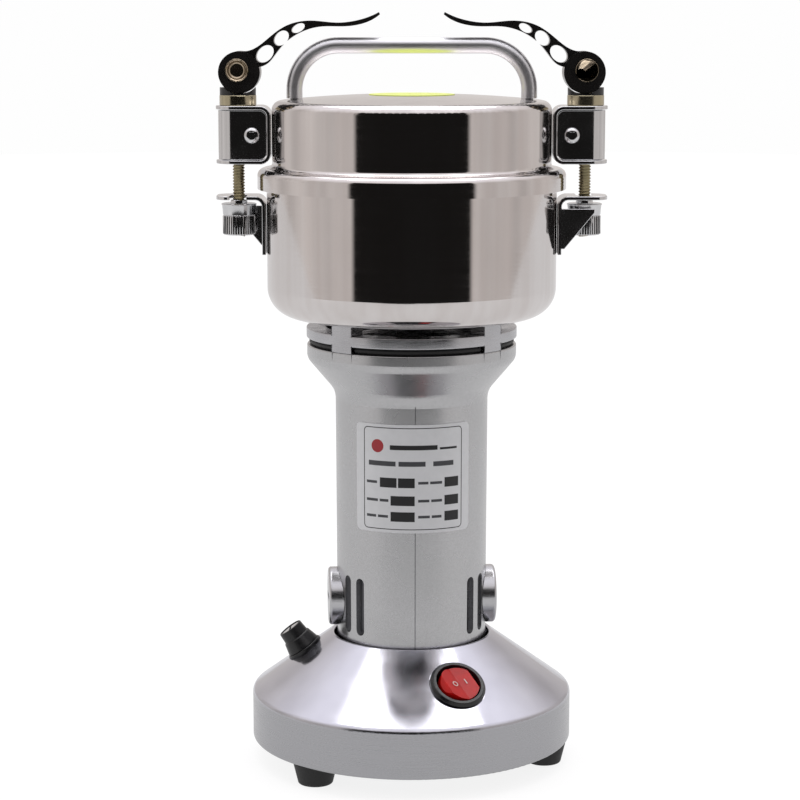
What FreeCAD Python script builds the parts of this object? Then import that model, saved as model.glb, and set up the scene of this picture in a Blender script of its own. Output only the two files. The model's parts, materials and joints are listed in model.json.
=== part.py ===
import FreeCAD, Part
import math
import os
import re
import Sketcher
from FreeCAD import Placement, Rotation, Vector

# High-speed hammer mill for seed and grain: a lidded steel bowl on a motor tower and a round base.
# Frame: origin on the floor under the middle of the base, +Z up, the switch faces -Y.

document = FreeCAD.newDocument("HammerMill")
sheet = document.addObject("Spreadsheet::Sheet", "Dimensions")

# alias, millimetres or degrees, what it is
DIMENSIONS = [
    ("foot_height", 9, "rubber foot, floor to the base"),
    ("foot_top", 9.2, "foot radius at the base"),
    ("foot_sole", 7, "foot radius at the floor"),
    ("foot_ring", 57, "circle that the feet stand on"),
    ("foot_turn", 43.5, "first foot, degrees to the left of the front"),
    ("base_radius", 66.8, "outside of the base skirt"),
    ("skirt_top", 29.2, "where the skirt meets the cone"),
    ("cone_top", 54.2, "height of the cone's mouth"),
    ("cone_mouth", 32.4, "radius of the cone's mouth"),
    ("base_wall", 3, "casting thickness of the base"),
    ("base_land", 43.5, "underside of the thick land inside the cone"),
    ("land_radius", 42, "outer radius of that land"),
    ("boss_ring", 57, "circle of the base plate screws"),
    ("plate_gauge", 1.5, "base plate thickness"),
    ("tube_radius", 31, "motor tube at the bottom"),
    ("tube_top", 31.5, "motor tube under the funnel"),
    ("tube_bore", 28.3, "inside of the motor tube"),
    ("funnel_start", 156, "height where the funnel opens"),
    ("funnel_end", 169.8, "height where the funnel is full width"),
    ("rim_radius", 43.15, "funnel rim"),
    ("rim_top", 175.6, "top of the funnel rim"),
    ("housing_foot", 39.5, "bottom of the motor housing"),
    ("housing_wall", 2.7, "funnel wall"),
    ("tower_turn", 4, "the tower stands this many degrees round on the base"),
    ("brush_level", 68.7, "height of the brush axis"),
    ("cap_radius", 12.15, "brush cap"),
    ("cap_reach", 34.9, "outer face of the brush cap from the axis"),
    ("vent_width", 4.4, "vent slot width"),
    ("vent_length", 24, "vent slot length"),
    ("collar_bottom", 178.3, "underside of the collar ring"),
    ("collar_top", 182.7, "top of the collar ring"),
    ("collar_radius", 43.35, "outside of the collar ring"),
    ("collar_width", 8, "radial width of the collar ring"),
    ("post_width", 10.5, "collar post width"),
    ("bowl_bottom", 187, "underside of the bowl"),
    ("bowl_radius", 59.3, "outside of the bowl"),
    ("bowl_gauge", 1.5, "bowl steel"),
    ("bowl_corner", 12, "bowl bottom corner"),
    ("bowl_rim", 243.6, "rim of the bowl"),
    ("lid_radius", 57, "upper cylinder of the lid"),
    ("lid_gauge", 1.2, "lid steel"),
    ("lid_skirt", 63, "outside of the lid skirt"),
    ("lid_edge", 239.4, "free edge of the lid skirt"),
    ("lid_shoulder", 247.6, "top of the lid shoulder"),
    ("lid_brim", 274.5, "top edge of the lid"),
    ("lid_rise", 3, "rise of the dome above that edge"),
    ("sticker_radius", 17.5, "round sticker on the dome"),
    ("handle_rod", 6.5, "handle rod diameter"),
    ("handle_reach", 47.7, "handle leg from the axis"),
    ("handle_height", 297, "middle of the rod over the lid"),
    ("handle_bend", 18, "bend radius of the handle"),
    ("clamp_reach", 70.7, "clamp bolt from the axis"),
    ("bolt_size", 5, "clamp bolt diameter"),
    ("bolt_end", 218.7, "lower end of the clamp bolt"),
    ("strap_width", 18.2, "bracket width"),
    ("strap_gauge", 1.5, "bracket steel"),
    ("strap_bend", 4.2, "outer bend radius of a bracket"),
    ("flange_round", 9, "rounded end of a bracket flange"),
    ("upper_web", 57.15, "lid bracket web from the axis"),
    ("upper_top", 272.8, "top of the lid bracket"),
    ("upper_bottom", 249.4, "bottom of the lid bracket"),
    ("band_radius", 8.1, "outside of the stiffener band"),
    ("band_gauge", 1.2, "stiffener band steel"),
    ("band_screw", 64.7, "stiffener screw from the axis"),
    ("lower_web", 59.4, "bowl bracket web from the axis"),
    ("lower_top", 236.4, "top of the bowl bracket"),
    ("lower_bottom", 212.6, "lower end of the bowl bracket"),
    ("slot_width", 6.8, "bolt slot in the bowl bracket"),
    ("ring_radius", 7.5, "zinc ring and saddle washer"),
    ("ring_top", 277.1, "top of the zinc ring"),
    ("saddle_top", 280.1, "horns of the saddle washer"),
    ("pivot_height", 287.1, "cam lever pin"),
    ("pin_radius", 4.7, "cam lever pin"),
    ("pin_length", 13.6, "cam lever pin"),
    ("eye_radius", 8.45, "cam of the lever"),
    ("eye_inward", 0.9, "cam centre from the pin, towards the lid"),
    ("eye_down", 0.85, "cam centre below the pin"),
    ("eye_width", 12.4, "cam width"),
    ("arm_width", 7.4, "lever arm width"),
    ("arm_length", 57.8, "lever tip from the pin, level"),
    ("nut_radius", 6.75, "thumb nut body"),
    ("nut_shoulder", 7.25, "thumb nut shoulder"),
    ("nut_bottom", 220.3, "underside of the thumb nut"),
    ("nut_top", 234.5, "collar of the thumb nut"),
    ("fuse_ring", 45, "fuse holder from the axis"),
    ("fuse_turn", 92, "fuse holder, degrees to the left of the front"),
    ("switch_ring", 49.2, "rocker switch from the axis"),
    ("switch_turn", 22, "rocker switch, degrees to the right of the front"),
    ("switch_twist", 13, "turn of the switch about its own axis"),
    ("bezel_radius", 11.5, "switch bezel"),
    ("rocker_radius", 8.2, "switch rocker"),
    ("rocker_pivot", 2, "rocker's pivot below the switch's seat"),
    ("rocker_tilt", 9, "rocker's lean to either side, degrees"),
    ("label_middle", 124, "height of the label's middle"),
    ("label_height", 44.5, "label height"),
    ("label_width", 45, "label width, straight across"),
    ("shaft_radius", 4, "motor shaft"),
    ("shaft_top", 223, "top of the shaft"),
    ("bearing_radius", 11, "ball bearing"),
    ("bearing_width", 7, "ball bearing"),
    ("armature_radius", 18, "armature core"),
    ("core_bottom", 92, "underside of armature and stator cores"),
    ("core_top", 132, "top of armature and stator cores"),
    ("stator_bore", 18.6, "inside of the stator core"),
    ("commutator_radius", 11, "commutator"),
    ("fan_radius", 33, "cooling fan"),
    ("fan_top", 174.3, "top of the cooling fan"),
    ("switch_sink", 0.8, "switch seat, below the cone's crest"),
    ("fuse_sink", 0.6, "fuse holder seat, below the cone's crest"),
    ("lug_ring", 36.5, "circle of the housing screws"),
    ("bracket_seat", 51, "end bracket's seat in the tube"),
    ("bracket_screw", 24.9, "end bracket screws from the axis"),
    ("upper_bearing_seat", 176.6, "underside of the upper bearing"),
    ("label_turn", 1, "label, degrees to the right of the front"),
    ("inlet_height", 19, "cable inlet"),
    ("inlet_bore", 3.6, "cable inlet bore radius"),
    ("fit_gap", 0.05, "running clearance, each side"),
    ("free_gap", 0.3, "clearance between moving pieces"),
]

for row, (alias, number, note) in enumerate(DIMENSIONS, start=1):
    sheet.set(f"A{row}", note)
    sheet.set(f"B{row}", str(number))
    sheet.setAlias(f"B{row}", alias)
document.recompute()
ALIASES = {alias for alias, _, _ in DIMENSIONS}


def cells(text):
    """an expression in which each dimension's name is its cell on the sheet"""
    def cell(word):
        return "Dimensions." + word.group() if word.group() in ALIASES else word.group()
    return re.sub(r"[a-z][a-z_]+", cell, str(text))


def size(text):
    """the number that an expression gives"""
    result = sheet.evalExpression(cells(text))
    return float(getattr(result, "Value", result))


def new_body(label):
    body = document.addObject("PartDesign::Body", label)
    body.Label = label
    body.AllowCompound = True
    return body


def origin_part(body, role):
    return next(item for item in body.Origin.OriginFeatures if item.Role == role)


def new_sketch(body, name, plane, lift=None):
    """sketch on one of the body's own planes, lifted along that plane's normal"""
    sketch = body.newObject("Sketcher::SketchObject", name)
    sketch.AttachmentSupport = [(origin_part(body, plane), "")]
    sketch.MapMode = "FlatFace"
    if lift is not None:
        sketch.setExpression("AttachmentOffset.Base.z", cells(lift))
    return sketch


def tie(sketch, kind, edge, spot, text):
    """hold one end of an edge at a distance from the sketch origin"""
    if str(text) == "0":
        axis = -2 if kind == "DistanceX" else -1
        sketch.addConstraint(Sketcher.Constraint("PointOnObject", edge, spot, axis))
        return
    rule = sketch.addConstraint(Sketcher.Constraint(kind, -1, 1, edge, spot, size(text)))
    sketch.setExpression(f"Constraints[{rule}]", cells(text))


def outline(sketch, corners):
    """closed outline, every corner tied to the sheet

    A corner is (x, y), or (x, y, radius) where an arc runs from it to the next corner; the arc
    turns left when the radius is positive and right when it starts with a minus.
    """
    spots = [Vector(size(corner[0]), size(corner[1]), 0) for corner in corners]
    ends = []
    for corner, start, end in zip(corners, spots, spots[1:] + spots[:1]):
        if len(corner) == 2:
            edge = sketch.addGeometry(Part.LineSegment(start, end), False)
            ends.append((edge, 1, 2))
            continue
        radius = size(corner[2])
        half = (end - start) / 2
        side = Vector(-half.y, half.x, 0).normalize() * math.copysign(1, radius)
        centre = start + half + side * math.sqrt(radius ** 2 - half.Length ** 2)
        first, last = (start, end) if radius > 0 else (end, start)
        angles = [math.atan2(spot.y - centre.y, spot.x - centre.x) for spot in (first, last)]
        arc = Part.ArcOfCircle(Part.Circle(centre, Vector(0, 0, 1), abs(radius)), *angles)
        edge = sketch.addGeometry(arc, False)
        ends.append((edge, 1, 2) if radius > 0 else (edge, 2, 1))
    for step, corner in enumerate(corners):
        edge, begin, finish = ends[step]
        following, entry, _ = ends[(step + 1) % len(corners)]
        sketch.addConstraint(Sketcher.Constraint("Coincident", edge, finish, following, entry))
        tie(sketch, "DistanceX", edge, begin, corner[0])
        tie(sketch, "DistanceY", edge, begin, corner[1])
        if len(corner) == 3:
            rule = sketch.addConstraint(Sketcher.Constraint("Radius", edge, abs(size(corner[2]))))
            sketch.setExpression(f"Constraints[{rule}]", f"abs({cells(corner[2])})")


def slot(sketch, x, y, radius, reach):
    """upright slot with round ends; reach is from the slot's middle to an end's centre"""
    middle = Vector(size(x), size(y), 0)
    half, rise = size(radius), Vector(0, size(reach), 0)
    out = Vector(half, 0, 0)
    upper = Part.ArcOfCircle(Part.Circle(middle + rise, Vector(0, 0, 1), half), 0, math.pi)
    lower = Part.ArcOfCircle(Part.Circle(middle - rise, Vector(0, 0, 1), half), math.pi, 2 * math.pi)
    left = Part.LineSegment(middle + rise - out, middle - rise - out)
    right = Part.LineSegment(middle - rise + out, middle + rise + out)
    first = sketch.GeometryCount
    for shape in (upper, left, lower, right):
        sketch.addGeometry(shape, False)
    for step in range(4):
        sketch.addConstraint(Sketcher.Constraint("Tangent", first + step, 2, first + (step + 1) % 4, 1))
    for edge, sign in ((first, "+"), (first + 2, "-")):
        tie(sketch, "DistanceX", edge, 3, x)
        tie(sketch, "DistanceY", edge, 3, f"{y} {sign} ({reach})")
        rule = sketch.addConstraint(Sketcher.Constraint("Radius", edge, half))
        sketch.setExpression(f"Constraints[{rule}]", cells(radius))


def circle(sketch, x, y, radius):
    """circle tied to the sheet"""
    shape = Part.Circle(Vector(size(x), size(y), 0), Vector(0, 0, 1), size(radius))
    edge = sketch.addGeometry(shape, False)
    tie(sketch, "DistanceX", edge, 3, x)
    tie(sketch, "DistanceY", edge, 3, y)
    rule = sketch.addConstraint(Sketcher.Constraint("Radius", edge, size(radius)))
    sketch.setExpression(f"Constraints[{rule}]", cells(radius))


def box_outline(sketch, left, bottom, right, top):
    outline(sketch, [(left, bottom), (right, bottom), (right, top), (left, top)])


def finish_edges(body, kind, radius, chosen):
    """fillet or chamfer the tip's edges that the test chooses"""
    base = body.Tip
    names = [f"Edge{n}" for n, edge in enumerate(base.Shape.Edges, start=1) if chosen(edge)]
    if not names:
        raise RuntimeError(f"{body.Label}: no edge to {kind}")
    feature = body.newObject(f"PartDesign::{kind}", f"{body.Label}_{kind.lower()}")
    feature.Base = (base, names)
    feature.setExpression("Radius" if kind == "Fillet" else "Size", cells(radius))
    document.recompute()


def rim_at(*spots):
    """test for a round edge about the upright axis at one of the (radius, height) spots"""
    wanted = [(size(radius), size(height)) for radius, height in spots]

    def chosen(edge):
        if edge.Degenerated or not isinstance(edge.Curve, Part.Circle):
            return False
        return any(abs(edge.Curve.Radius - radius) < 0.01 and abs(edge.Curve.Center.z - height) < 0.01
                   for radius, height in wanted)
    return chosen


def edge_at(*spots):
    """test for an edge whose middle lies at one of the (x, y, z) spots; None leaves one free"""
    wanted = [[None if part is None else size(part) for part in spot] for spot in spots]

    def chosen(edge):
        middle = edge.CenterOfMass
        return any(all(part is None or abs(part - value) < 0.02
                       for part, value in zip(spot, (middle.x, middle.y, middle.z)))
                   for spot in wanted)
    return chosen


def group(label, members):
    """one named sub-part made of separate like pieces"""
    joined = document.addObject("Part::Compound", label)
    joined.Label = label
    joined.Links = members
    document.recompute()


def turn(body, name, corners, angle=360):
    """solid turned about the upright axis from an outline in (radius, height)"""
    sketch = new_sketch(body, f"{name}_section", "XZ_Plane")
    outline(sketch, corners)
    feature = body.newObject("PartDesign::Revolution", f"{name}_turned")
    feature.Profile = sketch
    feature.ReferenceAxis = (sketch, ["V_Axis"])
    feature.Angle = angle
    feature.Midplane = angle != 360
    document.recompute()
    return feature


def turned(label, corners, rounds=(), angle=360):
    """body turned about the upright axis, with fillets at the given (radius, height) spots"""
    body = new_body(label)
    turn(body, label, corners, angle)
    for radius, spots in rounds:
        finish_edges(body, "Fillet", radius, rim_at(*spots))
    return body


def extrude(body, kind, sketch, length, midplane=False, backward=False):
    """pad or pocket of a sketch, which has to change the body's volume the right way"""
    before = body.Shape.Volume if body.Tip else 0
    feature = body.newObject(f"PartDesign::{kind}", f"{sketch.Name}_{kind.lower()}")
    feature.Profile = sketch
    feature.Midplane = midplane
    feature.Reversed = backward
    feature.setExpression("Length", cells(length))
    document.recompute()
    change = body.Shape.Volume - before
    if abs(change) < 1e-3 or (change > 0) != (kind == "Pad"):
        raise RuntimeError(f"{sketch.Name}: the {kind} changes the volume by {change:.3f}")
    return feature


def ring_of(body, features, count):
    """repeat features round the upright axis"""
    pattern = body.newObject("PartDesign::PolarPattern", f"{features[-1].Name}_ring")
    pattern.Originals = features
    pattern.Axis = (origin_part(body, "Z_Axis"), [""])
    pattern.Angle = 360
    pattern.Occurrences = count
    body.Tip = pattern
    document.recompute()
    return pattern


def place(body, base=(0, 0, 0), axis=Vector(0, 0, 1), degrees=0):
    """set a body's placement; the base is three expressions"""
    body.Placement = Placement(Vector(*[size(part) for part in base]), Rotation(axis, degrees))
    for part, name in zip(base, "xyz"):
        if str(part) != "0":
            body.setExpression(f"Placement.Base.{name}", cells(part))
    return body


# Base

def build_feet():
    feet = []
    for name, step in (("foot_front_left", 0), ("foot_back", 1), ("foot_right", 2)):
        foot = turned(name, [("3", "3"), ("3", "0"), ("foot_sole", "0"), ("foot_top", "foot_height"),
                             ("2.1", "foot_height"), ("2.1", "3")], [("1", [("foot_sole", "0")])])
        bearing = f"(270 - foot_turn - {120 * step})"
        place(foot, (f"foot_ring * cos({bearing} * 1deg)", f"foot_ring * sin({bearing} * 1deg)", "0"))
        feet.append(foot)
    group("feet", feet)


def build_foot_screws():
    """three pan head screws that hold the feet to nuts on the base plate"""
    screws = new_body("foot_screws")
    shank = new_sketch(screws, "foot_screw_shank", "XY_Plane", "2.9")
    circle(shank, "foot_ring", "0", "2")
    features = [extrude(screws, "Pad", shank, "foot_height + plate_gauge + 1.2")]
    nut = new_sketch(screws, "foot_screw_nut", "XY_Plane", "foot_height + plate_gauge")
    circle(nut, "foot_ring", "0", "3.5")
    features.append(extrude(screws, "Pad", nut, "3"))
    head = new_sketch(screws, "foot_screw_head", "XY_Plane", "0.9")
    circle(head, "foot_ring", "0", "2.9")
    features.append(extrude(screws, "Pad", head, "2.05"))
    ring_of(screws, features, 3)
    place(screws, degrees=270 - size("foot_turn"))


def build_base_shell():
    """one aluminium casting: skirt, cone and the thick land that the motor housing hangs from"""
    slope = "(cone_top - skirt_top) / (base_radius - cone_mouth)"
    drop = f"base_wall * sqrt(1 + ({slope}) ^ 2)"
    inner = "base_radius - base_wall"
    land_meets = f"cone_top - (land_radius - cone_mouth) * {slope} - {drop}"
    shell = turned("base_shell", [
        ("cone_mouth", "cone_top"), ("cone_mouth", "base_land"), ("land_radius", "base_land"),
        ("land_radius + 0.5", f"{land_meets} - 0.5 * {slope}"),
        (inner, f"skirt_top + base_wall * {slope} - {drop}"),
        (inner, "foot_height"), ("base_radius", "foot_height"), ("base_radius", "skirt_top")],
        [("2.6", [("base_radius", "skirt_top")]), ("1.2", [("base_radius", "foot_height")]),
         ("0.8", [("cone_mouth", "cone_top")])])
    boss = new_sketch(shell, "base_boss", "XY_Plane", "foot_height + plate_gauge")
    circle(boss, "boss_ring", "0", "4.4")
    post = extrude(shell, "Pad", boss, "21.2")
    bore = new_sketch(shell, "base_boss_bore", "XY_Plane", "foot_height + plate_gauge")
    circle(bore, "boss_ring", "0", "1.75")
    hole = extrude(shell, "Pocket", bore, "12", backward=True)
    ring_of(shell, [post, hole], 3)
    return shell


def build_base_plate():
    plate = new_body("base_plate")
    disc = new_sketch(plate, "base_plate_disc", "XY_Plane", "foot_height")
    circle(disc, "0", "0", "base_radius - base_wall - 0.2")
    extrude(plate, "Pad", disc, "plate_gauge")
    holes = new_sketch(plate, "base_plate_screw_hole", "XY_Plane", "foot_height + plate_gauge")
    circle(holes, "boss_ring", "0", "1.9")
    ring_of(plate, [extrude(plate, "Pocket", holes, "plate_gauge + 1")], 3)
    vents = new_sketch(plate, "base_plate_vent", "XY_Plane", "foot_height + plate_gauge")
    box_outline(vents, "14", "-1.6", "34", "1.6")
    ring_of(plate, [extrude(plate, "Pocket", vents, "plate_gauge + 1")], 12)
    feet = new_sketch(plate, "base_plate_foot_hole", "XY_Plane", "foot_height + plate_gauge")
    for step in range(3):
        bearing = f"(270 - foot_turn - {120 * step})"
        circle(feet, f"foot_ring * cos({bearing} * 1deg)", f"foot_ring * sin({bearing} * 1deg)", "2.1")
    extrude(plate, "Pocket", feet, "plate_gauge + 1")


def build_base_plate_screws():
    screws = new_body("base_plate_screws")
    head = new_sketch(screws, "base_plate_screw_head", "XY_Plane", "foot_height - 1.9")
    circle(head, "boss_ring", "0", "3.2")
    features = [extrude(screws, "Pad", head, "1.85")]
    shank = new_sketch(screws, "base_plate_screw_shank", "XY_Plane", "foot_height - 0.5")
    circle(shank, "boss_ring", "0", "1.7")
    features.append(extrude(screws, "Pad", shank, "10"))
    ring_of(screws, features, 3)


def cone_seat(ring, bearing, sink, twist=0):
    """placement on the cone: origin on its surface, +Z out of it, +Y up the slope"""
    slope = math.atan2(size("cone_top - skirt_top"), size("base_radius - cone_mouth"))
    height = size("cone_top") - (size(ring) - size("cone_mouth")) * math.tan(slope)
    round_axis = Rotation(Vector(0, 0, 1), bearing + 90)
    spot = round_axis.multVec(Vector(0, -size(ring), height))
    lean = Rotation(Vector(1, 0, 0), math.degrees(slope))
    seat = Placement(spot, round_axis * lean * Rotation(Vector(0, 0, 1), twist))
    return seat * Placement(Vector(0, 0, -size(sink)), Rotation())


def cone_sketch(body, name, ring, bearing, sink):
    """sketch that lies on the base's cone"""
    sketch = new_sketch(body, name, "XY_Plane")
    sketch.AttachmentOffset = cone_seat(ring, bearing, sink)
    return sketch


def turned_sketch(body, name, height, bearing):
    """level sketch at a height, its X axis turned to a bearing"""
    sketch = new_sketch(body, name, "XY_Plane", height)
    sketch.AttachmentOffset = Placement(Vector(0, 0, size(height)), Rotation(Vector(0, 0, 1), bearing))
    return sketch


def cut_base_shell(shell):
    """seats and holes for the switch, the fuse holder and the cable inlet"""
    openings = (("switch", "switch_ring", switch_bearing(), "switch_sink", "bezel_radius + 0.2", "10.3"),
                ("fuse", "fuse_ring", fuse_bearing(), "fuse_sink", "8", "6.3"))
    for name, ring, bearing, sink, seat_radius, hole_radius in openings:
        seat = cone_sketch(shell, f"{name}_seat", ring, bearing, sink)
        circle(seat, "0", "0", seat_radius)
        extrude(shell, "Pocket", seat, "3", backward=True)
        hole = cone_sketch(shell, f"{name}_hole", ring, bearing, sink)
        circle(hole, "0", "0", hole_radius)
        extrude(shell, "Pocket", hole, "16")
    relief = cone_sketch(shell, "fuse_nut_relief", "fuse_ring", fuse_bearing(), "base_wall - 0.3")
    circle(relief, "0", "0", "9.2")
    extrude(shell, "Pocket", relief, "12")
    flat = new_sketch(shell, "inlet_seat", "XZ_Plane", "-(base_radius - 2)")
    circle(flat, "0", "inlet_height", "8.3")
    extrude(shell, "Pocket", flat, "4")
    bore = new_sketch(shell, "inlet_hole", "XZ_Plane", "-(base_radius - 6)")
    circle(bore, "0", "inlet_height", "6.1")
    extrude(shell, "Pocket", bore, "8")
    mount = turned_sketch(shell, "housing_screw_bore", "base_land", lug_bearing())
    circle(mount, "lug_ring", "0", "1.75")
    ring_of(shell, [extrude(shell, "Pocket", mount, "5.5", backward=True)], 4)


def switch_bearing():
    return 270 + size("switch_turn")


def fuse_bearing():
    return 270 - size("fuse_turn")


def lug_bearing():
    """the four housing lugs stand midway round from the switch"""
    return switch_bearing() + 45


def build_switch():
    """round snap-in rocker switch"""
    seat = cone_seat("switch_ring", switch_bearing(), "switch_sink", size("switch_twist"))
    housing = turned("switch_housing", [
        ("0", "-8.4"), ("rocker_radius + 0.75", "-8.4"), ("rocker_radius + 0.75", "1"),
        ("rocker_radius + 1.1", "2.7"), ("bezel_radius - 0.9", "2.7"), ("bezel_radius", "1.5"),
        ("bezel_radius", "0"), ("10.1", "0"), ("10.1", "-16.5"), ("0", "-16.5")],
        [("0.5", [("bezel_radius", "1.5")]), ("0.5", [("bezel_radius - 0.9", "2.7")])])
    pivot_hole = new_sketch(housing, "rocker_pivot_hole", "XZ_Plane")
    circle(pivot_hole, "0", "-rocker_pivot", "0.9 + free_gap / 2")
    extrude(housing, "Pocket", pivot_hole, "19", midplane=True)
    rocker = new_body("switch_rocker")
    side = new_sketch(rocker, "rocker_side", "XZ_Plane")
    outline(side, [("-rocker_radius", "-4.2"), ("rocker_radius", "-4.2"), ("rocker_radius - 0.1", "0.9"),
                   ("rocker_radius - 1.4", "3.1"), ("0", "1.7"), ("-rocker_radius + 1.4", "3.1"),
                   ("-rocker_radius + 0.1", "0.9")])
    extrude(rocker, "Pad", side, "2 * rocker_radius", midplane=True)
    plan = new_sketch(rocker, "rocker_plan", "XY_Plane", "-8")
    circle(plan, "0", "0", "rocker_radius")
    circle(plan, "0", "0", "2 * rocker_radius")
    extrude(rocker, "Pocket", plan, "16", backward=True)
    pivot = new_sketch(rocker, "rocker_pivot", "XZ_Plane")
    circle(pivot, "0", "-rocker_pivot", "0.9")
    extrude(rocker, "Pad", pivot, "18.6", midplane=True)
    drop = Vector(0, 0, size("rocker_pivot"))
    tilt = Placement(-drop, Rotation(Vector(0, 1, 0), size("rocker_tilt"))) * Placement(drop, Rotation())
    rocker.Placement = seat * tilt
    housing.Placement = seat
    terminals = new_body("switch_terminals")
    blade = new_sketch(terminals, "switch_terminal", "XY_Plane", "-16.5")
    for side in ("-5", "0", "5"):
        box_outline(blade, f"{side} - 0.4", "-3.1", f"{side} + 0.4", "3.1")
    extrude(terminals, "Pad", blade, "6", backward=True)
    terminals.Placement = seat


def build_fuse_holder():
    """screw-cap fuse holder held by a nut from inside, with a glass fuse"""
    seat = cone_seat("fuse_ring", fuse_bearing(), "fuse_sink")
    pieces = [
        turned("fuse_holder", [("4.9", "1.6"), ("7.8", "1.6"), ("7.8", "0"), ("6.2", "0"),
                               ("6.2", "-24"), ("0", "-24"), ("0", "-23"), ("4.9", "-23")],
               [("0.5", [("7.8", "1.6")])]),
        turned("fuse_nut", [("6.25", "-2.15"), ("8.7", "-2.15"), ("8.7", "-5.15"), ("6.25", "-5.15")]),
        turned("fuse_cap", [("0", "9.9"), ("4.55", "9.9"), ("4.55", "11.4"), ("5.2", "11.4"),
                            ("5.5", "6.9"), ("6", "6.6"), ("7.2", "1.9"), ("4.8", "1.9"),
                            ("4.8", "-4"), ("0", "-4")],
               [("0.8", [("6", "6.6")]), ("0.4", [("5.2", "11.4")])]),
        turned("fuse_cap_contact", [("0", "9.9"), ("4.5", "9.9"), ("4.5", "11.1"), ("0", "11.1")],
               [("0.3", [("4.5", "11.1")])]),
        turned("fuse_tube", [("0", "-22.8"), ("2.6", "-22.8"), ("2.6", "-4.3"), ("0", "-4.3")]),
    ]
    cut = new_sketch(pieces[3], "fuse_cap_slot", "XY_Plane", "11.1")
    box_outline(cut, "-3.4", "-0.5", "3.4", "0.5")
    extrude(pieces[3], "Pocket", cut, "0.7")
    for piece in pieces:
        piece.Placement = seat


def build_cable_inlet():
    """bush in the back of the skirt, its nut inside; the bore takes the supply cable"""
    bush = turned("cable_inlet", [("inlet_bore", "66.7"), ("7.6", "66.7"), ("7.9", "66.2"),
                                  ("7.9", "base_radius - 2"), ("6", "base_radius - 2"), ("6", "56"),
                                  ("inlet_bore", "56")], [("0.6", [("inlet_bore", "66.7")])])
    nut = turned("inlet_nut", [("6.05", "63.2"), ("8.2", "63.2"), ("8.2", "60"), ("6.05", "60")])
    for piece in (bush, nut):
        place(piece, ("0", "0", "inlet_height"), Vector(1, 0, 0), -90)


# Motor tower

def tube_at(height):
    """outside of the tapered motor tube at a height"""
    return (f"(tube_radius + (tube_top - tube_radius) * (({height}) - housing_foot)"
            " / (funnel_start - housing_foot))")


def build_motor_housing():
    housing = turned("motor_housing", [
        ("tube_bore + 0.9", "housing_foot"), ("tube_radius", "housing_foot"), ("tube_top", "funnel_start"),
        ("rim_radius", "funnel_end"), ("rim_radius", "rim_top"), ("rim_radius - housing_wall", "rim_top"),
        ("rim_radius - housing_wall", "funnel_end + 1"), ("tube_bore", "funnel_start + 1.5"),
        ("tube_bore", "bracket_seat"), ("tube_bore + 0.9", "bracket_seat")],
        [("9", [("tube_top", "funnel_start")]), ("5", [("rim_radius", "funnel_end")]),
         ("0.6", [("rim_radius", "rim_top")])])
    lug = turned_sketch(housing, "housing_lug", "housing_foot", lug_bearing() - size("tower_turn"))
    box_outline(lug, "tube_bore + 1.2", "-4.5", "lug_ring + 4", "4.5")
    circle(lug, "lug_ring", "0", "2.2")
    ring_of(housing, [extrude(housing, "Pad", lug, "base_land - housing_foot")], 4)
    inner = new_sketch(housing, "bracket_lug", "XY_Plane", "bracket_seat")
    for side in ("bracket_screw", "-bracket_screw"):
        circle(inner, "0", side, "3.6")
        circle(inner, "0", side, "1.5")
    extrude(housing, "Pad", inner, "9")
    for side, name in ((0, "right"), (180, "left")):
        hole = new_sketch(housing, f"brush_hole_{name}", "YZ_Plane")
        circle(hole, "0", "brush_level", "8.1")
        extrude(housing, "Pocket", hole, "40", backward=side == 0)
    for step, angle in enumerate((47, 61.5, 118.5, 133, -47, -61.5, -118.5, -133), start=1):
        vent = new_sketch(housing, f"vent_{step}", "XZ_Plane")
        vent.AttachmentOffset = Placement(Vector(0, 0, 0), Rotation(Vector(0, 1, 0), angle))
        slot(vent, "0", "brush_level", "vent_width / 2", "(vent_length - vent_width) / 2")
        extrude(housing, "Pocket", vent, "40", backward=True)
    place(housing, degrees=size("tower_turn"))


def build_housing_screws():
    """four screws that hang the housing from the land in the base"""
    screws = new_body("housing_screws")
    head = new_sketch(screws, "housing_screw_head", "XY_Plane", "housing_foot - 2.6")
    circle(head, "lug_ring", "0", "3.5")
    features = [extrude(screws, "Pad", head, "2.55")]
    shank = new_sketch(screws, "housing_screw_shank", "XY_Plane", "housing_foot - 1")
    circle(shank, "lug_ring", "0", "1.7")
    features.append(extrude(screws, "Pad", shank, "9.5"))
    ring_of(screws, features, 4)
    place(screws, degrees=lug_bearing())


def build_end_bracket():
    """plate across the bottom of the tube that carries the lower bearing"""
    bracket = turned("end_bracket", [
        ("5", "bracket_seat - 4"), ("tube_bore + 0.7", "bracket_seat - 4"),
        ("tube_bore + 0.7", "bracket_seat"), ("14", "bracket_seat"), ("14", "bracket_seat + bearing_width"),
        ("bearing_radius", "bracket_seat + bearing_width"), ("bearing_radius", "bracket_seat"),
        ("5", "bracket_seat")])
    window = turned_sketch(bracket, "bracket_window", "bracket_seat", 45)
    circle(window, "21", "0", "5")
    ring_of(bracket, [extrude(bracket, "Pocket", window, "6")], 4)
    holes = new_sketch(bracket, "bracket_screw_hole", "XY_Plane", "bracket_seat")
    circle(holes, "0", "bracket_screw", "1.6")
    circle(holes, "0", "-bracket_screw", "1.6")
    extrude(bracket, "Pocket", holes, "6")
    screws = new_body("end_bracket_screws")
    for name, radius, low, length in (("head", "2.8", "bracket_seat - 6", "1.95"),
                                      ("shank", "1.45", "bracket_seat - 5", "12")):
        sketch = new_sketch(screws, f"bracket_screw_{name}", "XY_Plane", low)
        circle(sketch, "0", "bracket_screw", radius)
        circle(sketch, "0", "-bracket_screw", radius)
        extrude(screws, "Pad", sketch, length)
    for piece in (bracket, screws):
        place(piece, degrees=size("tower_turn"))


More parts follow.
